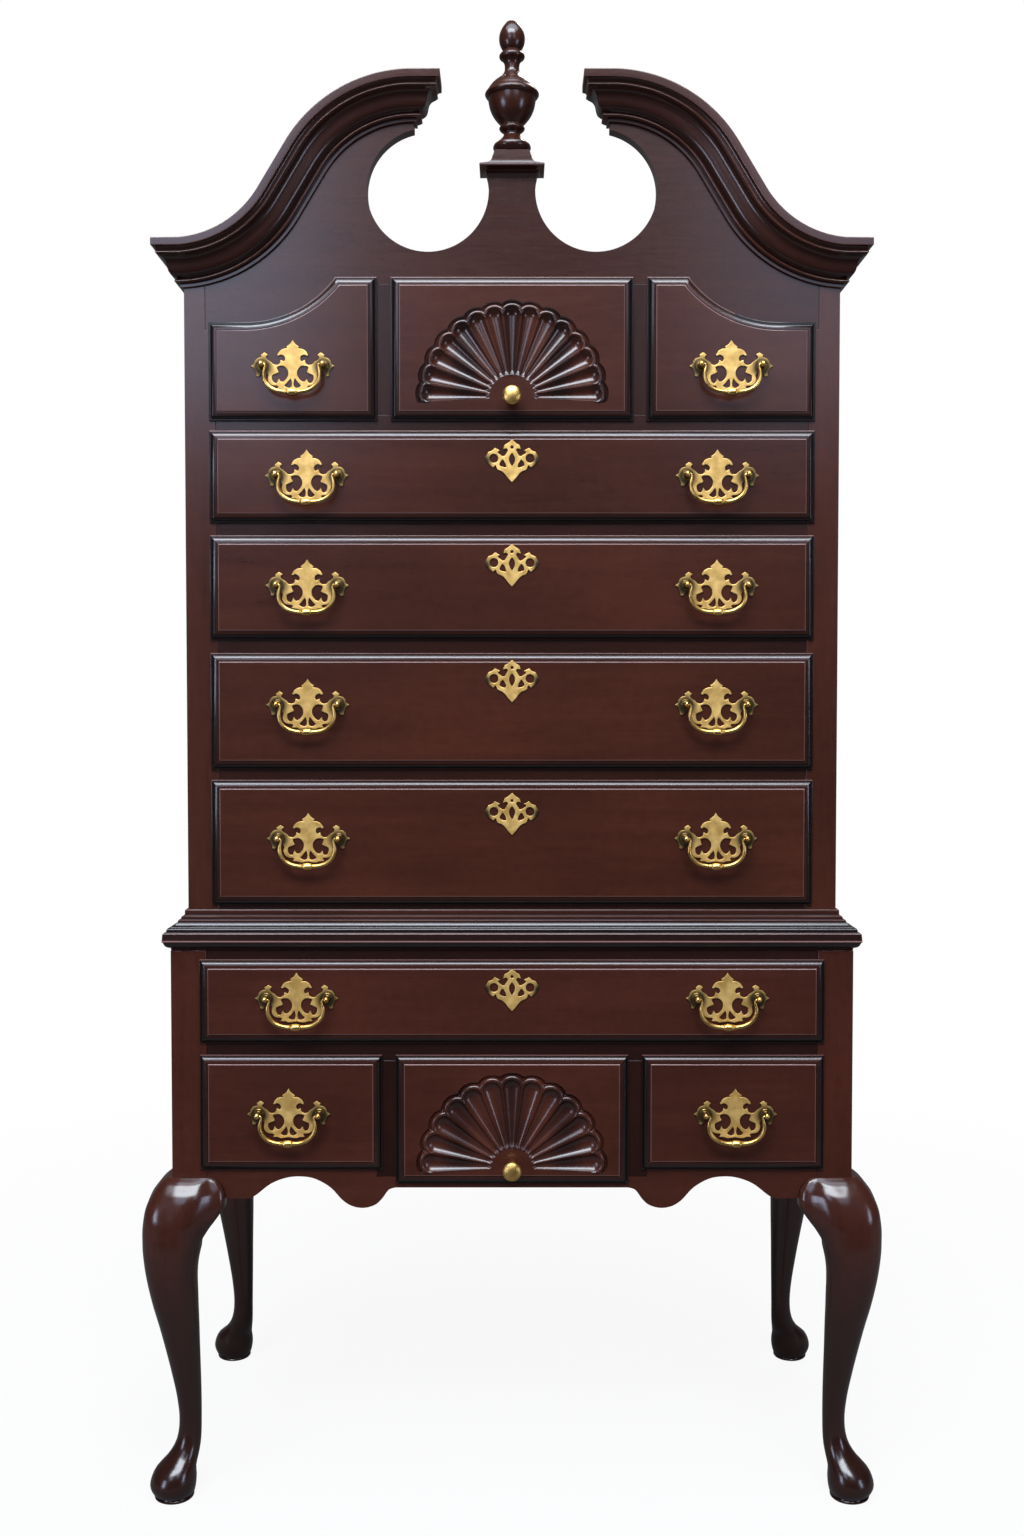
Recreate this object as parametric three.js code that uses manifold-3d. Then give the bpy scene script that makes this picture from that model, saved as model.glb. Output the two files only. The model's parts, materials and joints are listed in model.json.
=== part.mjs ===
// A highboy: a chest on a lower case with four cabriole legs, lipped drawers with pierced brass pulls,
// two carved fans, a waist moulding and a scrolled pediment with a turned finial.
// Millimetres. X is the width, Y runs from front to back, Z is up. While the pieces are made, Y = 0 is the
// front plane of the upper case and Z = 0 is the floor.
import * as THREE from "three";
import { mergeVertices } from "three/addons/utils/BufferGeometryUtils.js";
import Module from "manifold-3d";

// Carcase boards and the gaps between pieces
const gap = 0.3;
const overrun = 1;
const upperWidth = 934;
const upperDepth = 454.5;
const ledge = 21.5;
const sideThickness = 20;
const frameThickness = 22;
const backThickness = 9;
const topThickness = 20;
const upperStileWidth = 44;
const postSize = 50.5;

// Heights of the lower case, from the floor up
const legHeight = 466.7;
const caseFootDrop = 16;
const footRailHeight = 15.9;
const sideDrawerRise = 20.2;
const lowerSmallHeight = 166;
const lowerRailGap = 17.2;
const lowerLongHeight = 120;
const lowerTopRailHeight = 21.3;

// Heights of the upper case: long drawers from the bottom up, and the gap above each
const upperBaseRailHeight = 71.6;
const longHeights = [180.6, 166.7, 148.7, 131];
const longGaps = [15.1, 19.2, 17.7, 13.8];
const topDrawerHeight = 203;
const topCornerHeight = 139.4;
const topCornerFlat = 53;
const topInnerFlat = 59.3;
const cornerSteps = 6;

// Drawers: the lip laps the frame, the box runs inside the opening
const lipOverlap = 9;
const lipThickness = 3;
const ovoloWidth = 11.4;
const ovoloDepth = 5.2;
const ovoloSteps = 3;
const fieldStep = 1.2;
const fieldMargin = 1.6;
const boxClearance = 1.5;
const coreThickness = 14;
const boxBackClearance = 33.5;
const boxWall = 12;
const boxBottomRise = 6;
const boxBottomThickness = 7;
const boxTopDrop = 8;
const topSideGap = 19;
const lowerSideGap = 18.6;

// Where the dividers between the small drawers stand, as shares of half the opening's width
const topDividerShare = 0.4314;
const lowerDividerShare = 0.4025;

// Runner frames inside the cases
const runnerWidth = 38;
const runnerThickness = 18;
const guideHeight = 24;

// Carved fans; the margins lie between a fan and its drawer's edges
const upperFanFlutes = 15;
const lowerFanFlutes = 13;
const upperFanMargin = 43;
const lowerFanMargin = 37;
const fanTopMargin = 31;
const fanHubRadius = 34;
const fanOverSweep = 0.06;
const upperFanRise = 32;
const lowerFanRise = 24.4;
const fluteFillShare = 0.93;
const fluteDepthShare = 0.27;
const fluteDeepest = 5;
const fluteFacets = 8;

// Waist moulding
const waistProjection = 32;
const waistHeight = 56;

// Pediment, its crown mouldings and round openings
const crownRise = 187.5;
const crownHeight = 61;
const crownProjection = 38.5;
const crownLap = 50;
const stileNotch = 14;
const swanLowerShare = 0.5627;
const swanUpperShare = 0.4045;
const swanOverhang = 11;
const swanRise = 232.5;
const swanEndReach = 139;
const swanStep = 0.2;
const roundelRadius = 86.6;
const roundelReach = 119.6;
const roundelRise = 138.5;
const roundelSteps = 18;
const neckRise = 163;

// Plinth and finial
const plinthCapHalf = 46;
const plinthCapHalfDepth = 27;
const plinthHeight = 27.6;
const finialHeight = 189.5;
const finialRadius = 38.5;
const turningSides = 10;

// Cabriole legs
const kneeBulge = 43.5;
const wingReach = 26;
const wingDrop = 32;
const wingTail = 53;
const wingProud = 10;
const wingBevel = 5;
const wingSteps = 4;
const legSides = 10;

// Apron
const apronDrop = 29.7;

// Brass pulls and knobs
const postSpacing = 87;
const plateHalfWidth = 59.5;
const plateRise = 36.3;
const plateThickness = 1.8;
const rosetteRadius = 7;
const postRadius = 3;
const postHeadRadius = 4.2;
const pinReach = 13;
const postLength = 17;
const pinRadius = 1.4;
const pinRunningGap = 0.35;
const pinDepth = 3;
const bailDrop = 39.6;
const bailRodRadius = 2.5;
const bailSides = 5;
const postSides = 5;
const topPullInset = 121;
const longPullInset = 140;
const lowerSidePullInset = 128;
const topPullRise = 76;
const longPullRises = [97.3, 93.2, 77.2, 66.5];
const lowerLongPullRise = 66;
const lowerSidePullRise = 82.7;
const escutcheonHalfWidth = 39;
const escutcheonRise = 30.3;
const escutcheonThickness = 1.6;
const keyholeRadius = 3;
const escutcheonRises = [131.9, 126.4, 105.4, 86.8];
const lowerEscutcheonRise = 77.5;
const knobRadius = 13.6;
const knobLength = 24;

// Places that follow from the sizes above
const upperHalf = upperWidth / 2;
const lowerHalf = upperHalf + ledge;
const upperOpenHalf = upperHalf - upperStileWidth;
const notchX = upperOpenHalf + stileNotch;
const lowerOpenHalf = lowerHalf - postSize;
const upperFront = 0;
const lowerFront = -ledge;
const caseBack = upperDepth;
const boxInset = lipOverlap + boxClearance;
const upperLipHalf = upperOpenHalf + lipOverlap;
const lowerLipHalf = lowerOpenHalf + lipOverlap;
const topDividerCentre = topDividerShare * upperOpenHalf;
const lowerDividerCentre = lowerDividerShare * lowerOpenHalf;
const topInnerLip = topDividerCentre + topSideGap / 2;
const topCentreLip = topDividerCentre - topSideGap / 2;
const lowerInnerLip = lowerDividerCentre + lowerSideGap / 2;
const lowerMiddleLip = lowerDividerCentre - lowerSideGap / 2;
const caseFoot = legHeight - caseFootDrop;
const lowerOpenBottom = caseFoot + footRailHeight;
const lowerCentreLip = lowerOpenBottom - lipOverlap;
const lowerSideLip = lowerCentreLip + sideDrawerRise;
const lowerSmallTop = lowerSideLip + lowerSmallHeight;
const lowerLongLip = lowerSmallTop + lowerRailGap;
const lowerLongTop = lowerLongLip + lowerLongHeight;
const lowerTop = lowerLongTop - lipOverlap + lowerTopRailHeight;
const upperFoot = lowerTop + gap;
const longLips = longHeights.map((height, row) => {
  const below = longHeights.slice(0, row).reduce((sum, one) => sum + one, 0);
  const gapsBelow = longGaps.slice(0, row).reduce((sum, one) => sum + one, 0);
  return upperFoot + upperBaseRailHeight - lipOverlap + below + gapsBelow;
});
const lastLong = longHeights.length - 1;
const topLip = longLips[lastLong] + longHeights[lastLong] + longGaps[lastLong];
const topOpenTop = topLip + topDrawerHeight - lipOverlap;
const cornerOpenTop = topLip + topCornerHeight - lipOverlap;
const cornerRise = topDrawerHeight - topCornerHeight;
const cornerRun = upperLipHalf - topCornerFlat - topInnerLip - topInnerFlat;
const topCornerRadius = (cornerRun ** 2 + cornerRise ** 2) / (2 * cornerRise);
const crownFoot = topLip + crownRise;
const caseTop = crownFoot + crownLap;
const swanRun = upperHalf + swanOverhang - swanEndReach;
const swanSpan = (swanRun ** 2 + swanRise ** 2) / (2 * swanRise);
const swanLowerRadius = swanLowerShare * swanSpan;
const swanUpperRadius = swanUpperShare * swanSpan;
const roundelCentre = new THREE.Vector2(roundelReach, crownFoot + roundelRise);
const neckTop = crownFoot + neckRise;

// Finishes
const upperWood = { color: 0x43292a, roughness: 0.38, metalness: 0 };
const lowerWood = { color: 0x3b1c17, roughness: 0.32, metalness: 0 };
const plainWood = { color: 0x9a7450, roughness: 0.75, metalness: 0 };
const brass = { color: 0xb8934f, roughness: 0.35, metalness: 1 };

const highboy = new THREE.Group();
const wasm = await Module();
wasm.setup();

// Solids and meshes
function solidOf(geometry) {
  const bare = geometry.index ? geometry.toNonIndexed() : geometry.clone();
  bare.deleteAttribute("normal");
  bare.deleteAttribute("uv");
  const merged = mergeVertices(bare);
  const mesh = new wasm.Mesh({
    numProp: 3,
    vertProperties: merged.attributes.position.array,
    triVerts: new Uint32Array(merged.index.array),
  });
  return new wasm.Manifold(mesh);
}

function geometryOf(solid) {
  const mesh = solid.getMesh();
  const geometry = new THREE.BufferGeometry();
  const places = new Float32Array(mesh.vertProperties);
  geometry.setAttribute("position", new THREE.BufferAttribute(places, 3));
  geometry.setIndex(new THREE.BufferAttribute(new Uint32Array(mesh.triVerts), 1));
  return geometry;
}

function joined(solids) {
  return solids.reduce((sum, one) => sum.add(one));
}

function addPiece(name, solid, finish) {
  const geometry = geometryOf(solid);
  geometry.computeVertexNormals();
  const mesh = new THREE.Mesh(geometry, new THREE.MeshStandardMaterial(finish));
  mesh.name = name;
  highboy.add(mesh);
}

// A closed mesh from a triangle list, turned so that its faces point outwards
function closedSolid(points, triangles) {
  let volume = 0;
  for (const [a, b, c] of triangles) {
    volume += points[a].dot(new THREE.Vector3().crossVectors(points[b], points[c]));
  }
  const order = volume < 0 ? triangles.map(([a, b, c]) => [a, c, b]) : triangles;
  const geometry = new THREE.BufferGeometry().setFromPoints(points);
  geometry.setIndex(order.flat());
  return solidOf(geometry);
}

// A skin over rings of equal point counts; capOutline is the ring's flat outline, for the end faces
function loft(rings, capOutline) {
  const size = rings[0].length;
  const triangles = [];
  for (let ring = 0; ring + 1 < rings.length; ring++) {
    for (let k = 0; k < size; k++) {
      const a = ring * size + k;
      const b = ring * size + ((k + 1) % size);
      triangles.push([a, b, b + size], [a, b + size, a + size]);
    }
  }
  const last = (rings.length - 1) * size;
  const faces = THREE.ShapeUtils.triangulateShape([...capOutline], []);
  const faceArea = (face) => THREE.ShapeUtils.area(face.map((k) => capOutline[k]));
  const facesTurn = faces.reduce((sum, face) => sum + faceArea(face), 0);
  const flipped = facesTurn * THREE.ShapeUtils.area(capOutline) < 0;
  for (const face of faces) {
    const [a, b, c] = flipped ? [...face].reverse() : face;
    triangles.push([c, b, a], [last + a, last + b, last + c]);
  }
  return closedSolid(rings.flat(), triangles);
}

function block(x0, x1, y0, y1, z0, z1) {
  const geometry = new THREE.BoxGeometry(x1 - x0, y1 - y0, z1 - z0);
  geometry.translate((x0 + x1) / 2, (y0 + y1) / 2, (z0 + z1) / 2);
  return solidOf(geometry);
}

// A board whose outline is drawn in X and Z, from its front face at y back over its thickness
function boardFacingFront(shape, y, thickness) {
  const geometry = new THREE.ExtrudeGeometry(shape, { depth: thickness, bevelEnabled: false });
  geometry.rotateX(Math.PI / 2);
  geometry.translate(0, y + thickness, 0);
  return solidOf(geometry);
}

function mirrorInX(points) {
  const others = points.filter(([x]) => x > 0).map(([x, z]) => [-x, z]);
  return [...points, ...others.reverse()];
}

// Outlines run one way round and their holes the other
function turnedOutline(points, clockwise) {
  const outline = points.map(([x, z]) => new THREE.Vector2(x, z));
  return THREE.ShapeUtils.isClockWise(outline) === clockwise ? outline : outline.reverse();
}

function shapeOf(points, holes = []) {
  const shape = new THREE.Shape(turnedOutline(points, false));
  shape.holes.push(...holes.map((hole) => new THREE.Path(turnedOutline(hole, true))));
  return shape;
}

function arcPoints(centre, radius, from, to, count) {
  return Array.from({ length: count + 1 }, (_, k) => {
    const angle = from + ((to - from) * k) / count;
    return [centre.x + radius * Math.cos(angle), centre.y + radius * Math.sin(angle)];
  });
}

function capFrom(points) {
  return points.map(([x, z]) => new THREE.Vector2(x, z));
}

// A turning: profile points are [radius, height] and start and end on the axis
function turning(points, sides) {
  const profile = points.map(([radius, height]) => new THREE.Vector2(radius, height));
  return new THREE.LatheGeometry(profile, sides);
}

// Drawers
function boxOutline(x0, x1, z0, z1) {
  return (inset) => [
    [x0 + inset, z0 + inset],
    [x1 - inset, z0 + inset],
    [x1 - inset, z1 - inset],
    [x0 + inset, z1 - inset],
  ];
}

// The upper outer corner of a top side drawer is a hollow curve; side is -1 on the left, 1 on the right
function hollowCornerOutline(side, inner, outer, z0, z1) {
  const centre = new THREE.Vector2(outer - topCornerFlat, z0 + topCornerHeight + topCornerRadius);
  return (inset) => {
    const radius = topCornerRadius + inset;
    const topAngle = Math.asin((z1 - inset - centre.y) / radius);
    const curve = arcPoints(centre, -radius, Math.PI / 2, -topAngle, cornerSteps);
    const points = [
      [inner + inset, z0 + inset],
      [outer - inset, z0 + inset],
      ...curve.map(([x, z], k) => (k === 0 ? [[outer - inset, z], [x, z]] : [[x, z]])).flat(),
      [inner + inset, z1 - inset],
    ];
    return points.map(([x, z]) => [side * x, z]);
  };
}

function drawerFront(outline, front) {
  const place = (inset, forward) => {
    const y = front - forward;
    return outline(inset).map(([x, z]) => new THREE.Vector3(x, y, z));
  };
  const coreInset = boxInset;
  const edge = gap + lipThickness;
  const rings = [place(coreInset, -coreThickness), place(coreInset, gap), place(0, gap), place(0, edge)];
  for (let k = 1; k <= ovoloSteps; k++) {
    const angle = (k / ovoloSteps) * (Math.PI / 2);
    rings.push(place(ovoloWidth * (1 - Math.cos(angle)), edge + ovoloDepth * Math.sin(angle)));
  }
  rings.push(place(ovoloWidth + fieldMargin, edge + ovoloDepth));
  rings.push(place(ovoloWidth + fieldMargin, edge + ovoloDepth + fieldStep));
  return loft(rings, capFrom(outline(0)));
}

const fieldForward = gap + lipThickness + ovoloDepth + fieldStep;

function drawerTray(x0, x1, z0, z1, front) {
  const back = caseBack - backThickness - boxBackClearance;
  const outer = block(x0, x1, front + coreThickness / 2, back, z0, z1);
  const sheet = z0 + boxBottomRise;
  const floor = sheet + boxBottomThickness;
  const hollow = [x0 + boxWall, x1 - boxWall, front + coreThickness, back - boxWall];
  const inside = block(...hollow, floor, z1 + overrun);
  const under = block(...hollow, z0 - overrun, sheet);
  return outer.subtract(inside).subtract(under);
}

function lippedDrawer({ outline, x0, x1, z0, z1, front }) {
  const seat = z0 + lipOverlap + gap;
  const tray = drawerTray(x0 + boxInset, x1 - boxInset, seat, z1 - boxInset - boxTopDrop, front);
  return drawerFront(outline, front).add(tray);
}

// One flute is a cone with its point at the fan's centre, ended by a ball, sunk into the drawer's field
function fanFlutes(centreZ, front, count, fanRadius) {
  const sweep = Math.PI + 2 * fanOverSweep;
  const pitch = sweep / count;
  const width = pitch * fluteFillShare;
  const depth = width * fluteDepthShare;
  const radius = ((width * width) / 4 + depth * depth) / (2 * depth);
  const tilt = Math.atan(radius - depth);
  const ballReach = fanRadius / (1 + width / 2);
  const deepest = depth * ballReach;
  const shallow = Math.min(1, fluteDeepest / deepest);
  const cutters = [];
  for (let k = 0; k < count; k++) {
    const angle = -fanOverSweep + pitch * (k + 0.5);
    const start = fanHubRadius;
    const length = ballReach - start;
    const cone = new THREE.CylinderGeometry(radius * ballReach, radius * start, length, fluteFacets, 1);
    cone.rotateZ(-Math.PI / 2);
    cone.translate(start + length / 2, 0, 0);
    const ball = new THREE.SphereGeometry(radius * ballReach, fluteFacets, fluteFacets / 2);
    ball.rotateZ(-Math.PI / 2);
    ball.translate(ballReach, 0, 0);
    for (const cutter of [cone, ball]) {
      cutter.rotateZ(-tilt);
      cutter.scale(1, shallow, 1);
      cutter.rotateY(-angle);
      cutter.translate(0, front - fieldForward, centreZ);
      cutters.push(solidOf(cutter));
    }
  }
  return joined(cutters);
}

// Pierced brass escutcheon, half outline from the top tip round to the bottom tip
const escutcheonEdgeShares = [
  [0, 1], [0.3, 0.66], [0.2, 0.5], [0.3, 0.22], [0.6, 0.6], [0.86, 0.42], [1, 0.14], [0.69, -0.31],
  [0.57, -0.25], [0.26, -0.61], [0, -1],
];

function escutcheon(centreZ, front) {
  const half = escutcheonEdgeShares.map(([across, up]) => [
    across * escutcheonHalfWidth,
    centreZ + up * escutcheonRise,
  ]);
  const keyhole = [
    [-keyholeRadius, centreZ + keyholeRadius],
    [keyholeRadius, centreZ + keyholeRadius],
    [keyholeRadius / 2, centreZ - 2 * keyholeRadius],
    [-keyholeRadius / 2, centreZ - 2 * keyholeRadius],
  ];
  const shape = shapeOf(mirrorInX(half), [keyhole]);
  const face = front - fieldForward - escutcheonThickness;
  return boardFacingFront(shape, face, escutcheonThickness + overrun);
}

// Pierced back plate of a pull: half outline from the top tip round to the bottom
const plateEdgeShares = [
  [0, 1], [0.14, 0.68], [0.37, 0.46], [0.18, 0.3], [0.31, 0.08], [0.46, 0.05], [0.62, 0.26],
  [0.67, 0.52], [0.78, 0.34], [1, -0.03], [0.83, -0.47], [0.6, -0.32], [0.56, -0.66], [0.38, -0.82],
  [0.25, -0.98], [0, -0.92],
];
const plateHoleShares = [[0.36, -0.06], [0.44, -0.42], [0.32, -0.68], [0.16, -0.32]];

function pullPlate(x, z, front) {
  const face = front - fieldForward - gap - plateThickness;
  const half = plateEdgeShares.map(([across, up]) => [across * plateHalfWidth, up * plateRise]);
  const holes = [-1, 1].map((side) => plateHoleShares.map(
    ([across, up]) => [x + side * across * plateHalfWidth, z + up * plateRise],
  ));
  const shape = shapeOf(mirrorInX(half).map(([across, up]) => [x + across, z + up]), holes);
  const plate = boardFacingFront(shape, face, plateThickness);
  const posts = [-1, 1].map((side) => pullPost(x + (side * postSpacing) / 2, z, face, side));
  return joined([plate, ...posts]);
}

// A turned post with a rosette at its foot and a ball head, bored from the inside for the bail's pin
function pullPost(x, z, face, side) {
  const profile = [
    [0, -plateThickness / 2],
    [rosetteRadius, -plateThickness / 2],
    [postRadius, plateThickness * 2],
    [postHeadRadius, pinReach - postHeadRadius / 2],
    [postHeadRadius, pinReach + postHeadRadius / 2],
    [0, postLength],
  ];
  const post = turning(profile, postSides);
  post.rotateY(Math.PI / postSides);
  post.rotateX(Math.PI);
  post.translate(x, face, z);
  const boreRadius = pinRadius + pinRunningGap;
  const bore = new THREE.CylinderGeometry(boreRadius, boreRadius, pinDepth * 2, bailSides);
  bore.rotateZ(Math.PI / 2);
  bore.translate(x - side * postHeadRadius, face - pinReach, z);
  return solidOf(post).subtract(solidOf(bore));
}

// A bail's half path from its pin to the middle of the grip: [across, down, thickness] as shares of the
// reach of the pins, the drop and the rod's radius
const bailPathShares = [
  [1, 0, 0], [0.915, 0, 0], [0.87, 0.1, 0.55], [0.94, 0.34, 0.86], [0.9, 0.62, 0.95], [0.7, 0.88, 1],
  [0.32, 1, 0.95], [0.12, 1, 1.95],
];
const bailKnopShare = 2.35;

function bail(x, z, front) {
  const axisY = front - fieldForward - gap - plateThickness - pinReach;
  const pinTip = postSpacing / 2 - postHeadRadius + pinDepth - gap;
  const half = bailPathShares.map(([across, down, thickness]) => ({
    x: across * pinTip,
    z: -down * bailDrop,
    radius: Math.max(pinRadius, thickness * bailRodRadius),
  }));
  const middle = { x: 0, z: -bailDrop, radius: bailKnopShare * bailRodRadius };
  const left = half.map((point) => ({ ...point, x: -point.x }));
  const path = [...left, middle, ...[...half].reverse()];
  const rings = path.map((point, k) => {
    const before = path[Math.max(0, k - 1)];
    const after = path[Math.min(path.length - 1, k + 1)];
    const along = new THREE.Vector2(after.x - before.x, after.z - before.z).normalize();
    return Array.from({ length: bailSides }, (_, side) => {
      const angle = (2 * Math.PI * (side + 0.5)) / bailSides;
      const across = point.radius * Math.cos(angle);
      const forward = point.radius * Math.sin(angle);
      const placeX = x + point.x - along.y * across;
      const placeZ = z + point.z + along.x * across;
      return new THREE.Vector3(placeX, axisY - forward, placeZ);
    });
  });
  const cap = Array.from({ length: bailSides }, (_, side) => {
    const angle = (2 * Math.PI * side) / bailSides;
    return new THREE.Vector2(Math.cos(angle), Math.sin(angle));
  });
  return loft(rings, cap);
}

// Round knob at the centre of a fan
const knobProfileShares = [
  [0, 0], [0.62, 0], [0.62, 0.1], [0.4, 0.22], [0.45, 0.45], [1, 0.68], [0.9, 0.88], [0.4, 1], [0, 1],
];

function knob(z, front) {
  const profile = knobProfileShares.map(([radius, along]) => [radius * knobRadius, along * knobLength]);
  const geometry = turning(profile, turningSides);
  geometry.rotateX(Math.PI);
  geometry.translate(0, front - fieldForward - gap, z);
  return solidOf(geometry);
}

function addPull(name, x, z, front) {
  addPiece("pull_plate_" + name, pullPlate(x, z, front), brass);
  addPiece("bail_" + name, bail(x, z, front), brass);
}

function addLongDrawer(name, half, z0, height, front, pullReach, pullRise, plateRiseOnFront) {
  const spec = { x0: -half, x1: half, z0, z1: z0 + height, front };
  const outline = boxOutline(spec.x0, spec.x1, spec.z0, spec.z1);
  const body = lippedDrawer({ outline, ...spec }).add(escutcheon(z0 + plateRiseOnFront, front));
  addPiece("drawer_" + name, body, front < 0 ? lowerWood : upperWood);
  addPull(name + "_left", -pullReach, z0 + pullRise, front);
  addPull(name + "_right", pullReach, z0 + pullRise, front);
}

function addFanDrawer({ name, half, z0, z1, front, fanRise, flutes, margin, finish }) {
  const spec = { x0: -half, x1: half, z0, z1, front };
  const outline = boxOutline(spec.x0, spec.x1, spec.z0, spec.z1);
  const body = lippedDrawer({ outline, ...spec });
  const centreZ = z0 + fanRise;
  const fanRadius = Math.min(half - margin, z1 - centreZ - fanTopMargin);
  addPiece("drawer_" + name, body.subtract(fanFlutes(centreZ, front, flutes, fanRadius)), finish);
  addPiece("knob_" + name, knob(centreZ, front), brass);
}

longHeights.forEach((height, row) => {
  const name = "long_" + (longHeights.length - row);
  const reach = upperLipHalf - longPullInset;
  addLongDrawer(
    name, upperLipHalf, longLips[row], height, upperFront, reach, longPullRises[row], escutcheonRises[row],
  );
});
addLongDrawer(
  "lower_long", lowerLipHalf, lowerLongLip, lowerLongHeight, lowerFront, lowerLipHalf - longPullInset,
  lowerLongPullRise, lowerEscutcheonRise,
);
addFanDrawer({
  name: "top_centre",
  half: topCentreLip,
  z0: topLip,
  z1: topLip + topDrawerHeight,
  front: upperFront,
  fanRise: upperFanRise,
  flutes: upperFanFlutes,
  margin: upperFanMargin,
  finish: upperWood,
});
addFanDrawer({
  name: "lower_centre",
  half: lowerMiddleLip,
  z0: lowerCentreLip,
  z1: lowerSmallTop,
  front: lowerFront,
  fanRise: lowerFanRise,
  flutes: lowerFanFlutes,
  margin: lowerFanMargin,
  finish: lowerWood,
});

// The two places of a span beside the middle, the lesser first; side is -1 on the left, 1 on the right
function spanOn(side, inner, outer) {
  return side < 0 ? [-outer, -inner] : [inner, outer];
}

for (const [sideName, side] of [["left", -1], ["right", 1]]) {
  const topOutline = hollowCornerOutline(side, topInnerLip, upperLipHalf, topLip, topLip + topDrawerHeight);
  const topEdges = spanOn(side, topInnerLip, upperLipHalf);
  const trayFoot = topLip + lipOverlap + gap;
  const trayTop = cornerOpenTop - boxClearance - boxTopDrop;
  const topTray = drawerTray(topEdges[0] + boxInset, topEdges[1] - boxInset, trayFoot, trayTop, upperFront);
  addPiece("drawer_top_" + sideName, drawerFront(topOutline, upperFront).add(topTray), upperWood);
  addPull("top_" + sideName, side * (upperLipHalf - topPullInset), topLip + topPullRise, upperFront);

  const [x0, x1] = spanOn(side, lowerInnerLip, lowerLipHalf);
  const spec = { x0, x1, z0: lowerSideLip, z1: lowerSmallTop, front: lowerFront };
  const lowOutline = boxOutline(x0, x1, spec.z0, spec.z1);
  addPiece("drawer_lower_" + sideName, lippedDrawer({ outline: lowOutline, ...spec }), lowerWood);
  const lowReach = lowerLipHalf - lowerSidePullInset;
  addPull("lower_" + sideName, side * lowReach, lowerSideLip + lowerSidePullRise, lowerFront);
}

// Upper case
const upperFrameBack = upperFront + frameThickness;
const upperInside = upperHalf - sideThickness;
const upperBackFace = caseBack - backThickness;

// Side runners with their guides at one level; the drawer slides on their upper faces
function sideRunners(openHalf, inside, y0, y1, level, guideFrom, guideTo) {
  const parts = [];
  for (const side of [-1, 1]) {
    const runner = spanOn(side, openHalf - runnerWidth, openHalf);
    parts.push(block(...runner, y0, y1, level - runnerThickness, level));
    const guide = spanOn(side, openHalf, inside - gap);
    parts.push(block(...guide, guideFrom, guideTo, level - runnerThickness, level + guideHeight));
  }
  return parts;
}

// A divider between two small drawers, carried back as a guide with a runner at each side
function dividerWithRunners(side, inner, outer, y0, y1, depthBack, z0, z1, innerLevel, outerLevel) {
  const divider = spanOn(side, inner, outer);
  const innerRunner = spanOn(side, inner - runnerWidth / 2, inner);
  const outerRunner = spanOn(side, outer, outer + runnerWidth / 2);
  const guideFoot = Math.min(innerLevel, outerLevel) - runnerThickness;
  return [
    block(...divider, y0, y1, z0, z1),
    block(...divider, y0, depthBack, guideFoot, outerLevel + guideHeight),
    block(...innerRunner, y0, depthBack, innerLevel - runnerThickness, innerLevel),
    block(...outerRunner, y0, depthBack, outerLevel - runnerThickness, outerLevel),
  ];
}

// The swan-neck line, for the right half: a hollow arc from the case's corner, a straight, and a round arc
// that ends level at the scroll's end. rise is the distance above the moulding's lower edge.
const lowerArc = new THREE.Vector2(upperHalf + swanOverhang, crownFoot + swanLowerRadius);
const upperArc = new THREE.Vector2(swanEndReach, crownFoot + swanRise - swanUpperRadius);

function swanStations() {
  const between = new THREE.Vector2(lowerArc.x - upperArc.x, upperArc.y - lowerArc.y);
  const lean = Math.atan2(-between.y, between.x);
  const slope = Math.asin((swanLowerRadius + swanUpperRadius) / between.length()) - lean;
  const start = Math.asin(swanOverhang / (swanLowerRadius - crownHeight));
  const stations = [];
  const lowerSteps = Math.ceil((slope - start) / swanStep);
  for (let k = 0; k <= lowerSteps; k++) {
    stations.push({ arc: "lower", angle: start + ((slope - start) * k) / lowerSteps });
  }
  const upperSteps = Math.ceil(slope / swanStep);
  for (let k = 0; k <= upperSteps; k++) {
    stations.push({ arc: "upper", angle: slope * (1 - k / upperSteps) });
  }
  return stations;
}

function swanPoint({ arc, angle }, rise) {
  if (arc === "lower") {
    const radius = swanLowerRadius - rise;
    return [lowerArc.x - radius * Math.sin(angle), lowerArc.y - radius * Math.cos(angle)];
  }
  const radius = swanUpperRadius + rise;
  return [upperArc.x + radius * Math.sin(angle), upperArc.y + radius * Math.cos(angle)];
}

// The line under the crown moulding that the stiles' tops and the pediment board share
function lapPoints(isWanted) {
  const line = swanStations().map((station) => swanPoint(station, crownLap));
  return line.filter(([x]) => isWanted(x));
}

function lapPointAt(x) {
  const angle = Math.asin((lowerArc.x - x) / (swanLowerRadius - crownLap));
  return swanPoint({ arc: "lower", angle }, crownLap);
}

// A stile runs from the waist up behind the crown moulding. Its notch carries the pediment board's end.
function upperStile(side) {
  const shoulder = cornerOpenTop - gap;
  const outline = [
    [upperOpenHalf, upperFoot],
    [upperHalf, upperFoot],
    [upperHalf, crownFoot + crownLap],
    ...lapPoints((x) => x > notchX),
    lapPointAt(notchX),
    [notchX, shoulder],
    [upperOpenHalf, shoulder],
  ];
  const shape = shapeOf(outline.map(([x, z]) => [side * x, z]));
  return boardFacingFront(shape, upperFront, frameThickness);
}

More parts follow.
